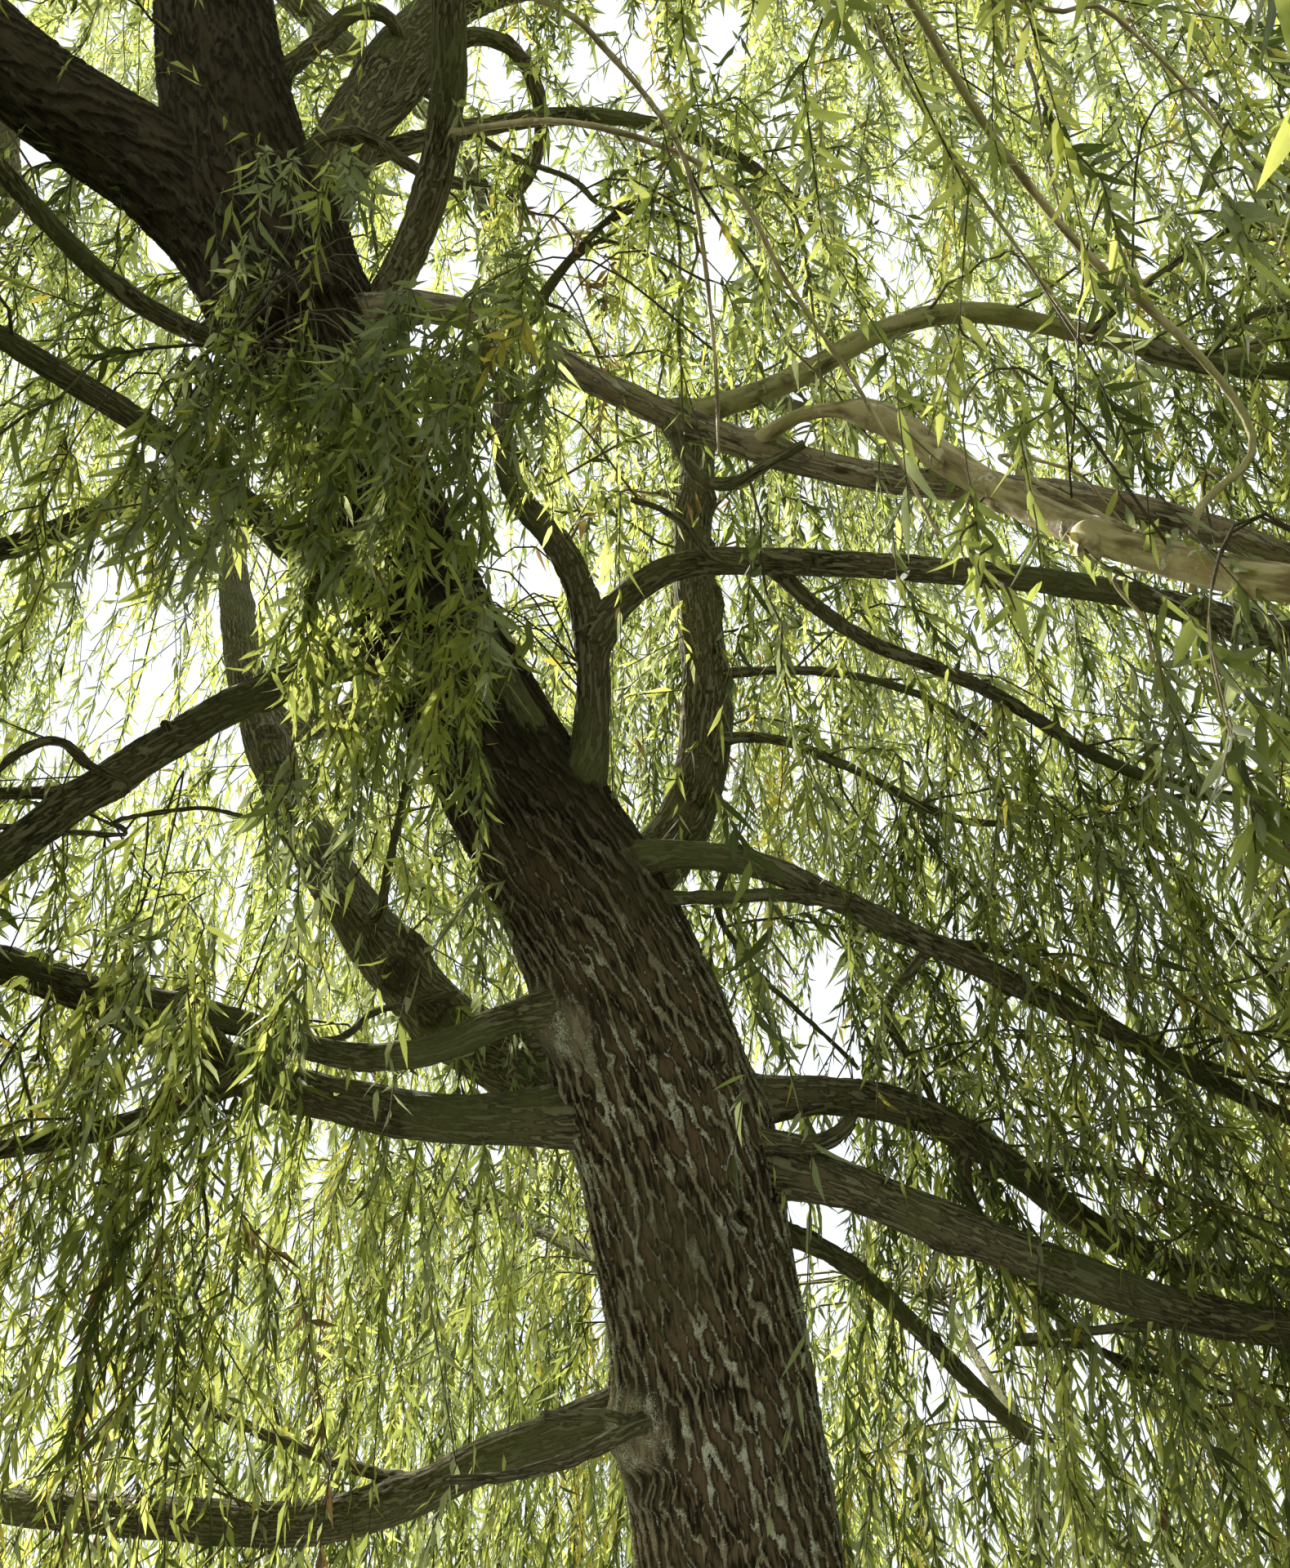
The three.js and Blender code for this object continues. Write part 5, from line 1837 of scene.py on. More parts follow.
class Leaves:
    """Every leaf, dealt out by spray into pieces of one tint each."""

    ACROSS = (0.31, 0.94, 0.12)
    HANG = 0.5
    MIDDLE_BEND = 0.25

    def __init__(self, strands: Sequence[Strands], sight: Sightlines, seed: int) -> None:
        """Keeps what the leaves stand on.

        Args:
            strands: The twigs and shoots.
            sight: What stays in sight from under the crown.
            seed: The seed of every draw.
        """
        self.strands = strands
        self.sight = sight
        self.dice = np.random.default_rng(seed)
        self.rule = LeafRule()

    def stand(self, strands: Strands) -> dict[str, Array]:
        """Stands leaves on some twigs.

        Args:
            strands: The twigs.

        Returns:
            The leaves' roots, directions, sides, lengths, bends, tints and widths, and which are free.
        """
        rule, dice = self.rule, self.dice
        seen = self.sight.seen(strands.lines)
        gap = np.where(seen, rule.gap, rule.gap_unseen)
        counts = np.maximum(strands.lengths * (1.0 - strands.bare) / gap, 2).astype(int)
        owner = np.repeat(np.arange(len(counts)), counts)
        order = np.arange(len(owner)) - np.repeat(np.cumsum(counts) - counts, counts)
        share = (order + dice.random(len(owner)) * rule.jitter) / counts[owner]
        share = strands.bare[owner] + (1.0 - strands.bare[owner]) * share
        root, way = strands.at(owner, share)
        first = unit(np.cross(way, self.ACROSS))
        second = np.cross(way, first)
        angle = order * GOLDEN_ANGLE + dice.random(len(counts))[owner] * rule.turn
        aside = first * np.cos(angle)[:, None] + second * np.sin(angle)[:, None]
        spread = dice.uniform(*rule.spread, len(owner))[:, None]
        axis = unit(way * np.cos(spread) + aside * np.sin(spread) - UP * rule.sag)
        roll = unit(np.cross(axis, aside) + dice.normal(0.0, rule.roll, (len(owner), 3)))
        side = squared(roll, axis)
        size = dice.random(len(owner))
        length = np.where(seen[owner], mix(*rule.length, size), mix(*rule.length_unseen, size))
        length = length * (1.0 - rule.shrink * share ** 3)
        droop = UP * dice.uniform(*rule.droop, len(owner))[:, None]
        bend = dice.normal(0.0, rule.curl, (len(owner), 3)) - droop
        stray = dice.random(len(owner)) < rule.stray_tint
        tint = np.where(stray, deal_tints(dice, len(owner)), strands.tints[owner])
        return {"root": root, "axis": axis, "side": side, "length": length, "bend": bend, "tint": tint,
                "width": dice.uniform(*rule.width, len(owner)), "free": strands.free[owner]}

    def kept(self, leaves: dict[str, Array]) -> Array:
        """Which leaves stay clear of the sky's gaps, the limbs in sight and the crown's outline.

        Args:
            leaves: The leaves, as they stand.

        Returns:
            A mask, (n,).
        """
        half_way = (leaves["axis"] + leaves["bend"] * self.MIDDLE_BEND) * leaves["length"][:, None] * 0.5
        middle = leaves["root"] + half_way
        pixels, depth = self.sight.view.pixels(middle)
        front = self.sight.hides_limb(pixels, depth)
        luck = self.dice.random(len(depth))
        low, high = (np.array(corner) for corner in CAD_BOX)
        inside = ((middle > low - self.rule.proud) & (middle < high + self.rule.proud)).all(axis=1)
        gap = self.sight.in_opening(pixels, depth) & (luck > self.rule.lace)
        return inside & ~gap & (~front | leaves["free"] | (luck < self.rule.front_share))

    def mesh(self, name: str, form: LeafForm, leaves: dict[str, Array]) -> MeshData:
        """Leaves of one form as mesh data.

        Args:
            name: The mesh's name.
            form: The outline that they have.
            leaves: The leaves, as they stand.

        Returns:
            The mesh data, with each point's place on its leaf kept as blade.
        """
        corners = np.array(form.corners)
        across, along_leaf, lift = (corners[:, i][None, :, None] for i in range(3))
        length = leaves["length"][:, None, None]
        half = length * leaves["width"][:, None, None] / 2
        axis, bend = leaves["axis"][:, None], leaves["bend"][:, None]
        side = leaves["side"][:, None]
        face_way = np.cross(leaves["axis"], leaves["side"])[:, None]
        points = (leaves["root"][:, None] + length * (axis * along_leaf + bend * self.HANG * along_leaf ** 2)
                  + half * (side * across + face_way * lift * self.rule.fold * 2))
        count, size = len(points), len(corners)
        faces = np.array(form.faces)[None] + (np.arange(count) * size)[:, None, None]
        faces = np.where(np.array(form.faces)[None] < 0, -1, faces).reshape(-1, 4)
        blade = np.broadcast_to(corners, (count, size, 3)).reshape(-1, 3)
        return MeshData(name, points.reshape(-1, 3), faces, {"blade": blade})

    def meshes(self) -> list[tuple[Tint, MeshData]]:
        """Makes the pieces, each of one tint and under the most faces that a piece may have.

        Returns:
            Each piece's tint and mesh data.
        """
        rows = [self.stand(strands) for strands in self.strands]
        leaves = {key: np.concatenate([row[key] for row in rows]) for key in rows[0]}
        stay = self.kept(leaves)
        leaves = {key: value[stay] for key, value in leaves.items()}
        _, depth = self.sight.view.pixels(leaves["root"])
        away = np.linalg.norm(leaves["root"] - self.sight.eye, axis=1)
        near = (away < self.rule.near) & (depth > 0)
        middle = (away < self.rule.middle) & (depth > 0) & ~near
        leaves["length"] = np.where(near, leaves["length"] * self.rule.near_length, leaves["length"])
        LOG.info("%d leaves, %d near, %d middle", len(away), near.sum(), middle.sum())
        made = []
        for number, tint in enumerate(TINTS):
            parts = []
            for form, which in ((NEAR_LEAF, near), (MIDDLE_LEAF, middle), (FAR_LEAF, ~near & ~middle)):
                picked = np.flatnonzero(which & (leaves["tint"] == number))
                most = self.rule.most_faces // form.triangles
                for start in range(0, len(picked), most):
                    chosen = picked[start:start + most]
                    part = {key: value[chosen] for key, value in leaves.items()}
                    parts.append((len(chosen) * form.triangles, self.mesh("", form, part)))
            for mesh in self.pack(f"leaves_{tint.value}", parts):
                made.append((tint, mesh))
        return made

    def pack(self, name: str, parts: Sequence[tuple[int, MeshData]]) -> list[MeshData]:
        """Joins meshes as long as a piece stays under the most faces.

        Args:
            name: What the pieces are named, with a number in turn.
            parts: Each mesh's count of triangles, and the mesh.

        Returns:
            The pieces.
        """
        groups: list[list[MeshData]] = []
        filled = self.rule.most_faces
        for count, mesh in sorted(parts, key=lambda part: part[0]):
            if filled + count > self.rule.most_faces:
                groups.append([])
                filled = 0
            groups[-1].append(mesh)
            filled += count
        return [MeshData.join(f"{name}_{turn}", group) for turn, group in enumerate(groups, 1)]


class Wire:
    """A number carried by a node's socket, usable in sums."""

    def __init__(self, shader: "Shader", socket: bpy.types.NodeSocket) -> None:
        """Keeps the socket and the shader that it belongs to."""
        self.shader = shader
        self.socket = socket

    def __add__(self, other: "Wire | float") -> "Wire":
        """Sum."""
        return self.shader.maths("ADD", self, other)

    def __sub__(self, other: "Wire | float") -> "Wire":
        """Difference."""
        return self.shader.maths("SUBTRACT", self, other)

    def __rsub__(self, other: float) -> "Wire":
        """Difference from a number."""
        return self.shader.maths("SUBTRACT", other, self)

    def __mul__(self, other: "Wire | float") -> "Wire":
        """Product."""
        return self.shader.maths("MULTIPLY", self, other)

    def __abs__(self) -> "Wire":
        """Size without sign."""
        return self.shader.maths("ABSOLUTE", self, 0.0)

    __radd__ = __add__
    __rmul__ = __mul__


class Shader:
    """The node tree of one finish."""

    def __init__(self, name: str) -> None:
        """Starts a material with an empty tree."""
        self.material = bpy.data.materials.new(name)
        self.material.use_nodes = True
        self.tree = self.material.node_tree
        self.tree.nodes.clear()

    def node(self, kind: str, settings: dict[str, Any], inputs: dict[str | int, Any]) -> bpy.types.Node:
        """Adds a node.

        Args:
            kind: The node's type.
            settings: What is set on the node first.
            inputs: Values, wires or sockets for its inputs, by name or place.

        Returns:
            The node.
        """
        made = self.tree.nodes.new(kind)
        for key, value in settings.items():
            setattr(made, key, value)
        for key, value in inputs.items():
            held = value.socket if isinstance(value, Wire) else value
            if isinstance(held, bpy.types.NodeSocket):
                self.tree.links.new(held, made.inputs[key])
            else:
                made.inputs[key].default_value = held
        return made

    def maths(self, operation: str, first: "Wire | float", second: "Wire | float") -> Wire:
        """A Math node's result."""
        made = self.node("ShaderNodeMath", {"operation": operation}, {0: first, 1: second})
        return Wire(self, made.outputs[0])

    def ramp(self, value: Wire, low: float, high: float) -> Wire:
        """A value spread smoothly from 0 at low to 1 at high."""
        made = self.node("ShaderNodeMapRange", {"interpolation_type": "SMOOTHSTEP"},
                         {"Value": value, "From Min": low, "From Max": high})
        return Wire(self, made.outputs["Result"])

    def mixed(self, share: "Wire | float", first: Any, second: Any) -> bpy.types.NodeSocket:
        """Two colours mixed by a share."""
        made = self.node("ShaderNodeMix", {"data_type": "RGBA"},
                         {0: share, 6: opaque(first), 7: opaque(second)})
        return made.outputs[2]

    def kept(self, name: str) -> bpy.types.Node:
        """The node that reads a value kept on the mesh's points."""
        return self.node("ShaderNodeAttribute", {"attribute_name": name}, {})

    def place(self) -> bpy.types.NodeSocket:
        """Places in the tree's own frame, in metres."""
        return self.node("ShaderNodeTexCoord", {}, {}).outputs["Object"]

    def stretched(self, vector: bpy.types.NodeSocket, scale: Colour) -> bpy.types.NodeSocket:
        """A vector times a scale on each axis."""
        made = self.node("ShaderNodeVectorMath", {"operation": "MULTIPLY"}, {0: vector, 1: scale})
        return made.outputs[0]

    def noise(self, vector: bpy.types.NodeSocket, scale: float, detail: float = 3.0) -> Wire:
        """Noise from about 0.25 to 0.75."""
        made = self.node("ShaderNodeTexNoise", {}, {"Vector": vector, "Scale": scale, "Detail": detail})
        return Wire(self, made.outputs[0])

    def part(self, vector: bpy.types.NodeSocket, axis: int) -> Wire:
        """One number of a vector."""
        return Wire(self, self.node("ShaderNodeSeparateXYZ", {}, {0: vector}).outputs[axis])

    def bump(self, height: Wire, distance: float) -> bpy.types.NodeSocket:
        """A normal bumped by a height in shares of a distance in metres."""
        return self.node("ShaderNodeBump", {}, {"Distance": distance, "Height": height}).outputs[0]

    def principled(self, inputs: dict[str, Any]) -> bpy.types.NodeSocket:
        """The main shader's output."""
        return self.node("ShaderNodeBsdfPrincipled", {}, inputs).outputs[0]

    def finished(self, surface: bpy.types.NodeSocket) -> bpy.types.Material:
        """The material with its surface set."""
        self.node("ShaderNodeOutputMaterial", {}, {"Surface": surface})
        return self.material


def opaque(colour: Any) -> Any:
    """A colour with full opacity, or a socket as it is."""
    return (*colour, 1.0) if isinstance(colour, tuple) and len(colour) == 3 else colour


@dataclass(frozen=True)
class BarkFinish:
    """Bark: dark furrows, ridges with painted shade on their flanks, lichen on the ridges, warm and green
    patches, and dark scars.

    Above the two heights given, the lichen thins out and the bark darkens towards the furrow colour, by the
    share given. The darkening is painted shade, the crown's shade on the upper trunk and leader.
    """

    name: str
    furrow: Colour
    furrow_pale: Colour
    ridge: Colour
    lichen: Colour
    algae: Colour
    warm: Colour
    lichen_share: float
    algae_share: float
    grain: float
    crack: float
    warm_share: float
    # How strongly painted shade darkens the ridges' flanks.
    edge: float = 2.6
    ground: float = 0.36
    rough: float = 0.9
    bump: float = 0.004
    # Heights and share over which the lichen thins out and painted shade darkens the upper trunk.
    clean_and_shaded_above: tuple[float, float] = (2.9, 3.7)
    clean_and_shaded_share: float = 0.0

    PATCHES = 2.6
    BLOTCHES = 9.0
    SPOTS = 26.0
    STREAK = (1.0, 1.0, 0.2)
    CRUMBS_FINER = 2.4
    HALF_CRACK = 0.035
    WARM = (0.52, 0.66)
    RAISED = (0.4, 0.8)
    CRUST = (1.22, 1.40)
    ALGAE = (0.62, 0.82)
    GROUND_SPREAD = 0.26
    ALGAE_FULL = 0.7
    SCAR_FULL = 0.85
    # How far the painted shade of the crown darkens the upper trunk towards the furrow colour.
    ALOFT_PAINTED_SHADE = 0.68
    ROUGH_UNEVEN = 0.16
    SHEEN = 0.25

    def build(self) -> bpy.types.Material:
        """The bark's material."""
        shader = Shader(self.name)
        unrolled = shader.kept("place").outputs["Vector"]
        ridge = Wire(shader, shader.kept("ridge").outputs["Fac"])
        scar = Wire(shader, shader.kept("scar").outputs["Fac"])
        world = shader.place()
        # How far up the trunk a place is: the lichen thins out there, and painted shade darkens it.
        aloft = shader.ramp(shader.part(world, 2), *self.clean_and_shaded_above) * self.clean_and_shaded_share
        streaks = shader.noise(shader.stretched(unrolled, self.STREAK), self.grain, 5.0)
        crumbs = shader.noise(unrolled, self.grain * self.CRUMBS_FINER, 4.0)
        patches = shader.noise(world, self.PATCHES)
        blotches = shader.noise(world, self.BLOTCHES)
        spots = shader.noise(world, self.SPOTS, 4.0)
        ground = shader.ramp(streaks + (blotches - 0.5) * 0.7, self.ground,
                             self.ground + self.GROUND_SPREAD)
        base = shader.mixed(ground, self.furrow, self.furrow_pale)
        warm = shader.ramp(blotches + (crumbs - 0.5) * 0.3, *self.WARM)
        base = shader.mixed(warm * self.warm_share, base, self.warm)
        raised = shader.ramp(ridge + (streaks - 0.5) * 0.7 + (crumbs - 0.5) * 0.6, *self.RAISED)
        # Painted shade: a dark line on each ridge's flank, in the crease between ridge and furrow.
        base = shader.mixed(ridge * (1.0 - ridge) * self.edge, base, self.furrow)
        # Pale ridges, which painted shade dulls on the upper trunk.
        base = shader.mixed(raised * (1.0 - aloft * 0.6), base, self.ridge)
        crust = ridge + (spots - 0.5) * 1.7 + (blotches - 0.5) * 1.2 + (crumbs - 0.5) * 2.2 - aloft * 0.4
        crust = shader.ramp(crust, *(edge - self.lichen_share for edge in self.CRUST))
        base = shader.mixed(crust, base, self.lichen)
        green = patches + (crumbs - 0.5) * 0.35
        green = shader.ramp(green, *(edge - self.algae_share for edge in self.ALGAE))
        base = shader.mixed(green * self.ALGAE_FULL, base, self.algae)
        cracks = shader.ramp(abs(streaks - 0.5), 0.0, self.HALF_CRACK)
        base = shader.mixed((1.0 - cracks) * self.crack, base, self.furrow)
        base = shader.mixed(scar * self.SCAR_FULL, base, self.furrow)
        # Painted shade of the crown on the upper trunk and leader.
        base = shader.mixed(aloft * self.ALOFT_PAINTED_SHADE, base, self.furrow)
        height = crumbs * 0.4 + streaks * 0.6 + raised * 0.5 + crust * 0.4
        rough = self.rough + (crumbs - 0.5) * self.ROUGH_UNEVEN
        surface = shader.principled({"Base Color": base, "Roughness": rough,
                                     "Normal": shader.bump(height, self.bump),
                                     "Specular IOR Level": self.SHEEN})
        return shader.finished(surface)


BARK_FINISHES = {
    # Furrowed bark, with painted shade of the crown on its upper part.
    BarkKind.FURROWED: BarkFinish("furrowed_bark", (0.020, 0.015, 0.007), (0.200, 0.148, 0.084),
                                  (0.400, 0.335, 0.215), (0.740, 0.750, 0.590), (0.130, 0.125, 0.050),
                                  (0.215, 0.135, 0.075), 0.35, 0.10, 100.0, 0.35, 0.4,
                                  ground=0.30, bump=0.007, clean_and_shaded_share=1.0),
    BarkKind.FISSURED: BarkFinish("fissured_bark", (0.034, 0.028, 0.013), (0.185, 0.165, 0.090),
                                  (0.300, 0.275, 0.165), (0.450, 0.440, 0.300), (0.165, 0.180, 0.060),
                                  (0.200, 0.145, 0.080), 0.04, 0.16, 150.0, 0.3, 0.35,
                                  ground=0.28, bump=0.003),
    BarkKind.MOTTLED: BarkFinish("mottled_bark", (0.060, 0.045, 0.026), (0.360, 0.300, 0.185),
                                 (0.480, 0.420, 0.280), (0.600, 0.580, 0.430), (0.270, 0.265, 0.090),
                                 (0.300, 0.190, 0.115), 0.14, 0.12, 55.0, 0.5, 0.5,
                                 ground=0.28, rough=0.65, bump=0.002),
    BarkKind.OLIVE: BarkFinish("olive_bark", (0.090, 0.080, 0.030), (0.400, 0.370, 0.150),
                               (0.090, 0.075, 0.035), (0.600, 0.580, 0.350), (0.320, 0.320, 0.095),
                               (0.260, 0.205, 0.090), 0.80, 0.16, 48.0, 0.3, 0.4,
                               ground=0.30, rough=0.6, bump=0.0016),
    BarkKind.SMOOTH: BarkFinish("smooth_bark", (0.240, 0.175, 0.080), (0.660, 0.560, 0.315),
                                (0.110, 0.080, 0.040), (0.780, 0.740, 0.580), (0.420, 0.395, 0.140),
                                (0.400, 0.265, 0.120), 0.84, 0.12, 42.0, 0.3, 0.6,
                                ground=0.30, rough=0.6, bump=0.0016),
}


@dataclass(frozen=True)
class TwigFinish:
    """Thin twigs, olive where they are young and dull brown where they are old."""

    name: str
    young: Colour
    old: Colour

    BROAD = 1.7
    FINE = 90.0
    OLD = (0.38, 0.62)
    ROUGH = (0.6, 0.3)
    BUMP = 0.001
    SHEEN = 0.3

    def build(self) -> bpy.types.Material:
        """The twigs' material."""
        shader = Shader(self.name)
        world = shader.place()
        broad, fine = shader.noise(world, self.BROAD), shader.noise(world, self.FINE, 4.0)
        base = shader.mixed(shader.ramp(broad + (fine - 0.5) * 0.5, *self.OLD), self.young, self.old)
        surface = shader.principled({"Base Color": base, "Roughness": self.ROUGH[0] + fine * self.ROUGH[1],
                                     "Normal": shader.bump(fine, self.BUMP),
                                     "Specular IOR Level": self.SHEEN})
        return shader.finished(surface)


@dataclass(frozen=True)
class LeafFinish:
    """Leaves of one tint, with a paler midrib, which let some light through."""

    name: str
    dark: Colour
    pale: Colour
    rib: Colour
    glow: Colour
    through: float

    BROAD = 3.1
    FINE = 140.0
    HALF_RIB = (0.04, 0.16)
    RIB_SHARE = 0.55
    PALE = (0.36, 0.64)
    SHARES = (0.6, 0.4)
    ROUGH = (0.42, 0.2)
    SHEEN = 0.4

    def build(self) -> bpy.types.Material:
        """The leaves' material."""
        shader = Shader(self.name)
        blade = shader.kept("blade").outputs["Vector"]
        across = shader.part(blade, 0)
        world = shader.place()
        broad, fine = shader.noise(world, self.BROAD, 0.0), shader.noise(world, self.FINE, 0.0)
        tone = shader.ramp(broad * self.SHARES[0] + fine * self.SHARES[1], *self.PALE)
        base = shader.mixed(tone, self.dark, self.pale)
        rib = 1.0 - shader.ramp(abs(across), *self.HALF_RIB)
        base = shader.mixed(rib * self.RIB_SHARE, base, self.rib)
        body = shader.principled({"Base Color": base, "Roughness": self.ROUGH[0] + fine * self.ROUGH[1],
                                  "Specular IOR Level": self.SHEEN})
        light = shader.node("ShaderNodeBsdfTranslucent", {}, {"Color": opaque(self.glow)}).outputs[0]
        surface = shader.node("ShaderNodeMixShader", {}, {0: self.through, 1: body, 2: light}).outputs[0]
        return shader.finished(surface)


LEAF_FINISHES = {
    Tint.FRESH: LeafFinish("fresh_leaf", (0.20, 0.225, 0.060), (0.32, 0.35, 0.12), (0.42, 0.44, 0.22),
                           (0.86, 0.92, 0.24), 0.6),
    Tint.GREEN: LeafFinish("green_leaf", (0.085, 0.108, 0.034), (0.16, 0.19, 0.066), (0.27, 0.30, 0.14),
                           (0.56, 0.64, 0.16), 0.6),
    # A dark copy of the green leaf, whose darkness is painted shade.
    Tint.DEEP: LeafFinish("deep_leaf", (0.034, 0.046, 0.017), (0.066, 0.086, 0.032), (0.15, 0.18, 0.08),
                          (0.21, 0.27, 0.055), 0.45),
    Tint.SILVER: LeafFinish("silver_leaf", (0.19, 0.215, 0.125), (0.31, 0.34, 0.215), (0.39, 0.42, 0.29),
                            (0.60, 0.67, 0.30), 0.5),
    Tint.YELLOW: LeafFinish("yellow_leaf", (0.33, 0.285, 0.055), (0.46, 0.41, 0.10), (0.52, 0.47, 0.20),
                            (0.88, 0.76, 0.14), 0.6),
    Tint.DRY: LeafFinish("dry_leaf", (0.12, 0.080, 0.034), (0.22, 0.155, 0.070), (0.30, 0.22, 0.11),
                         (0.36, 0.24, 0.08), 0.3),
}
TWIG_FINISH = TwigFinish("twig_bark", (0.21, 0.18, 0.075), (0.09, 0.07, 0.04))


@dataclass(frozen=True)
class Lamp:
    """A far soft lamp: its heading from +X, its climb and its softness in degrees, and its strength."""

    name: str
    heading: float
    climb: float
    strength: float
    softness: float
    colour: Colour

    def build(self) -> None:
        """Makes the lamp."""
        data = bpy.data.lights.new(self.name, "SUN")
        data.energy = self.strength
        data.angle = math.radians(self.softness)
        data.color = self.colour
        lamp = bpy.data.objects.new(self.name, data)
        ahead = Vector(heading_vector(self.heading, self.climb))
        lamp.rotation_euler = ahead.to_track_quat("Z", "Y").to_euler()
        bpy.context.scene.collection.objects.link(lamp)


@dataclass(frozen=True)
class Studio:
    """A plain pale floor, a pale sky, and soft light."""

    floor_side: float = 70.0
    floor_depth: float = 0.002
    floor_colour: Colour = (0.38, 0.38, 0.355)
    floor_mottle: tuple[float, float] = (0.8, 0.96)
    sky: Colour = (0.86, 0.93, 1.0)
    sky_strength: float = 0.92
    lamps: tuple[Lamp, ...] = (Lamp("sun", 128.0, 46.0, 8.0, 3.0, (1.0, 0.95, 0.84)),
                               Lamp("fill", -135.0, 18.0, 1.6, 50.0, (1.0, 1.0, 1.0)))
    exposure: float = 0.48
    gamma: float = 0.99
    bounces: int = 3
    diffuse_bounces: int = 2
    glossy_bounces: int = 1

    def build(self) -> None:
        """Makes the floor, the sky and the lamps."""
        self.build_floor()
        world = bpy.data.worlds.new("pale_sky")
        world.use_nodes = True
        back = world.node_tree.nodes["Background"]
        back.inputs["Color"].default_value = opaque(self.sky)
        back.inputs["Strength"].default_value = self.sky_strength
        scene = bpy.context.scene
        scene.world = world
        scene.view_settings.view_transform = "Standard"
        scene.view_settings.exposure = self.exposure
        scene.view_settings.gamma = self.gamma
        scene.cycles.max_bounces = scene.cycles.transmission_bounces = self.bounces
        scene.cycles.diffuse_bounces = self.diffuse_bounces
        scene.cycles.glossy_bounces = self.glossy_bounces
        for lamp in self.lamps:
            lamp.build()

    def build_floor(self) -> None:
        """Makes the floor as a finely mottled pale sheet."""
        half = self.floor_side / 2
        corners = np.array([(-half, -half, 0), (half, -half, 0), (half, half, 0), (-half, half, 0)], float)
        mesh = bpy.data.meshes.new("floor")
        mesh.from_pydata([tuple(corner) for corner in corners], [], [(0, 1, 2, 3)])
        floor = bpy.data.objects.new("floor", mesh)
        floor.location.z = -self.floor_depth
        bpy.context.scene.collection.objects.link(floor)
        shader = Shader("pale_floor")
        scale, dim = self.floor_mottle
        mottle = shader.noise(shader.place(), scale)
        tone = shader.mixed(mottle, self.floor_colour, tuple(part * dim for part in self.floor_colour))
        mesh.materials.append(shader.finished(shader.principled({"Base Color": tone, "Roughness": 0.9})))


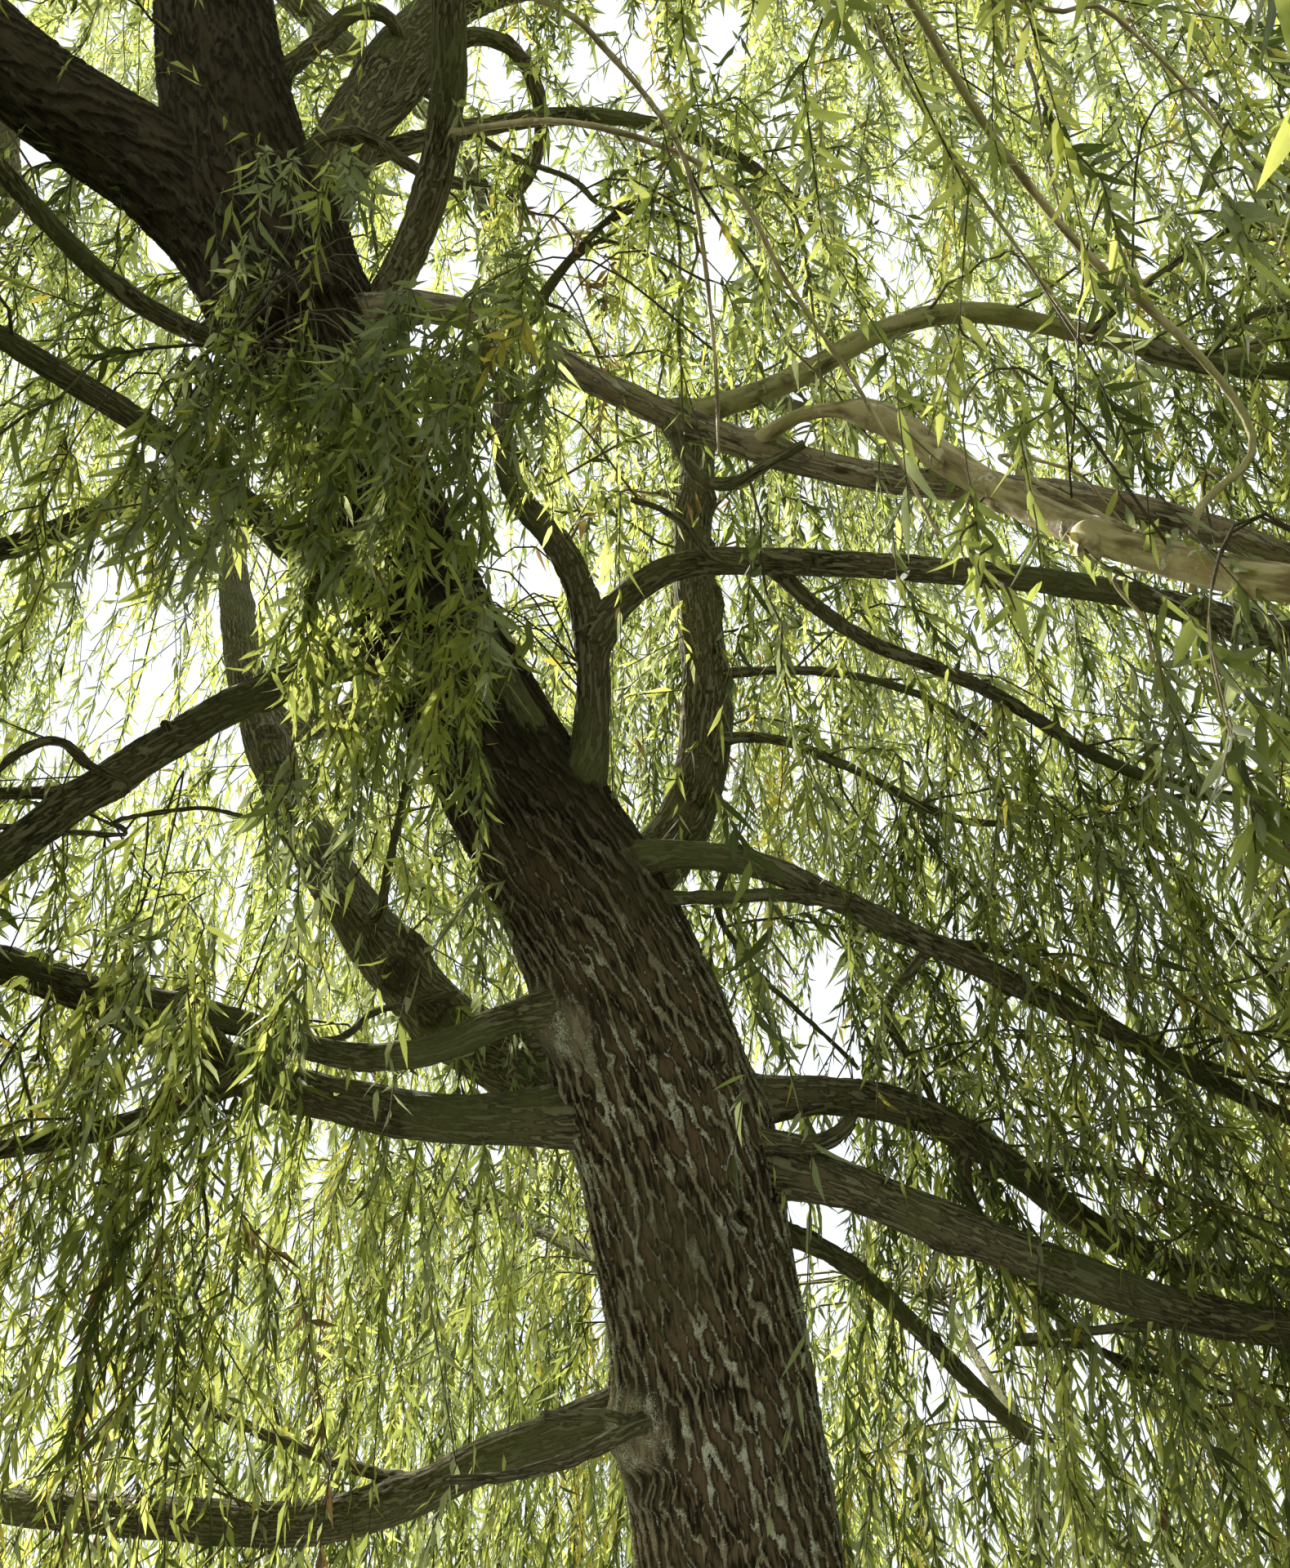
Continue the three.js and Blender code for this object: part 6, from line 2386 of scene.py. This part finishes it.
class Willow:
    """The whole tree."""

    SEED = 101
    STEM_POINTS = 13
    STEM_SIDES = 8
    STEM_RIDGE = 0.4
    SLOTS = {BarkKind.FURROWED: "trunk_bark", BarkKind.FISSURED: "bough_bark", BarkKind.MOTTLED: "young_bark",
             BarkKind.OLIVE: "young_bark", BarkKind.SMOOTH: "young_bark"}

    def __init__(self, view: Viewpoint) -> None:
        """Grows the limbs and places the masses."""
        self.view = view
        self.noise = Noise(self.SEED)
        self.limbs = self.grow((TRUNK, *LIMBS), {})
        self.dull = self.grow(DULL_BRANCHES, self.limbs)
        self.dull.update(self.run(DULL_ROUTES))
        self.pale = self.run(PALE_ROUTES)
        self.masses = [Mass(size, self.limbs[size.limb]) for size in MASSES]
        self.nodes = [mass.size.name for mass in self.masses]
        self.barks = {kind: finish.build() for kind, finish in BARK_FINISHES.items()}

    def grow(self, sizes: Sequence[LimbSize], grown: dict[str, Limb]) -> dict[str, Limb]:
        """Grows limbs, each from its parent.

        Args:
            sizes: The limbs' sizes, a parent before what it bears.
            grown: Limbs that stand already.

        Returns:
            The new limbs by name.
        """
        made: dict[str, Limb] = {}
        for size in sizes:
            parent = made.get(size.parent) or grown.get(size.parent)
            made[size.name] = Limb(size, parent)
        return made

    def run(self, routes: Sequence[Route]) -> dict[str, Limb]:
        """Thin branches by name, each run along its route."""
        return {route.name: RoutedLimb(route, self.limbs[route.parent], self.view) for route in routes}

    def build_limbs(self) -> None:
        """Makes the bark of the trunk, stems and boughs, a piece for each."""
        every = [*self.limbs.values(), *self.dull.values()]
        for limb in self.limbs.values():
            kind = KIND_OF_LIMB.get(limb.name, BarkKind.FISSURED)
            children = [other for other in every if other.parent is limb]
            for data in BarkMesh(limb, kind, children, self.noise, self.view).build(f"bark_{limb.name}"):
                data.object(self.barks[kind], self.SLOTS[kind], [limb.name])

    def build_branches(self) -> None:
        """Makes the thin branches, a piece for the dull and one for the pale."""
        for name, branches, kind in (("thin_branches", self.dull, BarkKind.FISSURED),
                                     ("pale_shoots", self.pale, BarkKind.SMOOTH)):
            parts = [data for limb in branches.values()
                     for data in BarkMesh(limb, kind, (), self.noise, self.view).build(limb.name)]
            MeshData.join(name, parts).object(self.barks[kind], self.SLOTS[kind])

    def build_stems(self) -> None:
        """Makes the masses' stems, all in one piece."""
        share = np.linspace(0.0, 1.0, self.STEM_POINTS)
        lines = np.stack([mass.stem(share) for mass in self.masses])
        tips = np.array([mass.limb.radius(1.0) * 2 for mass in self.masses])
        girths = tips[:, None] * mix(1.0, Mass.STEM_TAPER, share)[None]
        stems = Strands(lines, girths, np.zeros(len(lines)), np.zeros(len(lines), int))
        data = stems.skin("mass_stems", self.STEM_SIDES)
        data.values = {"ridge": np.full(len(data.points), self.STEM_RIDGE), "place": data.points}
        data.object(self.barks[BarkKind.FISSURED], self.SLOTS[BarkKind.FISSURED], self.nodes)

    def build_foliage(self) -> None:
        """Makes the twigs and the leaves."""
        every = {**self.limbs, **self.dull, **self.pale}
        limbs = [limb for limb in every.values() if limb.name not in BARE_LIMBS]
        sight = Sightlines(self.view, list(self.limbs.values()))
        twigs, shoots = Crown(self.masses, limbs, sight, self.SEED).grow()
        seen = sight.seen(shoots.lines)
        finish, slot = TWIG_FINISH.build(), self.SLOTS[BarkKind.FISSURED]
        for name, strands in (("arching_twigs", twigs), ("side_shoots_inner", shoots.chosen(seen)),
                              ("side_shoots_outer", shoots.chosen(~seen).coarser())):
            strands.skin(name, 3).object(finish, slot, self.nodes)
        finishes = {tint: leaf.build() for tint, leaf in LEAF_FINISHES.items()}
        for tint, data in Leaves((twigs, shoots), sight, self.SEED + 1).meshes():
            data.object(finishes[tint], "leaves", self.nodes)


def main() -> None:
    """Builds the view, the studio and the tree."""
    logging.basicConfig(level=logging.INFO, format="%(name)s: %(message)s")
    view = Viewpoint()
    view.build()
    Studio().build()
    willow = Willow(view)
    willow.build_limbs()
    willow.build_branches()
    willow.build_stems()
    willow.build_foliage()


if __name__ == "__main__":
    main()
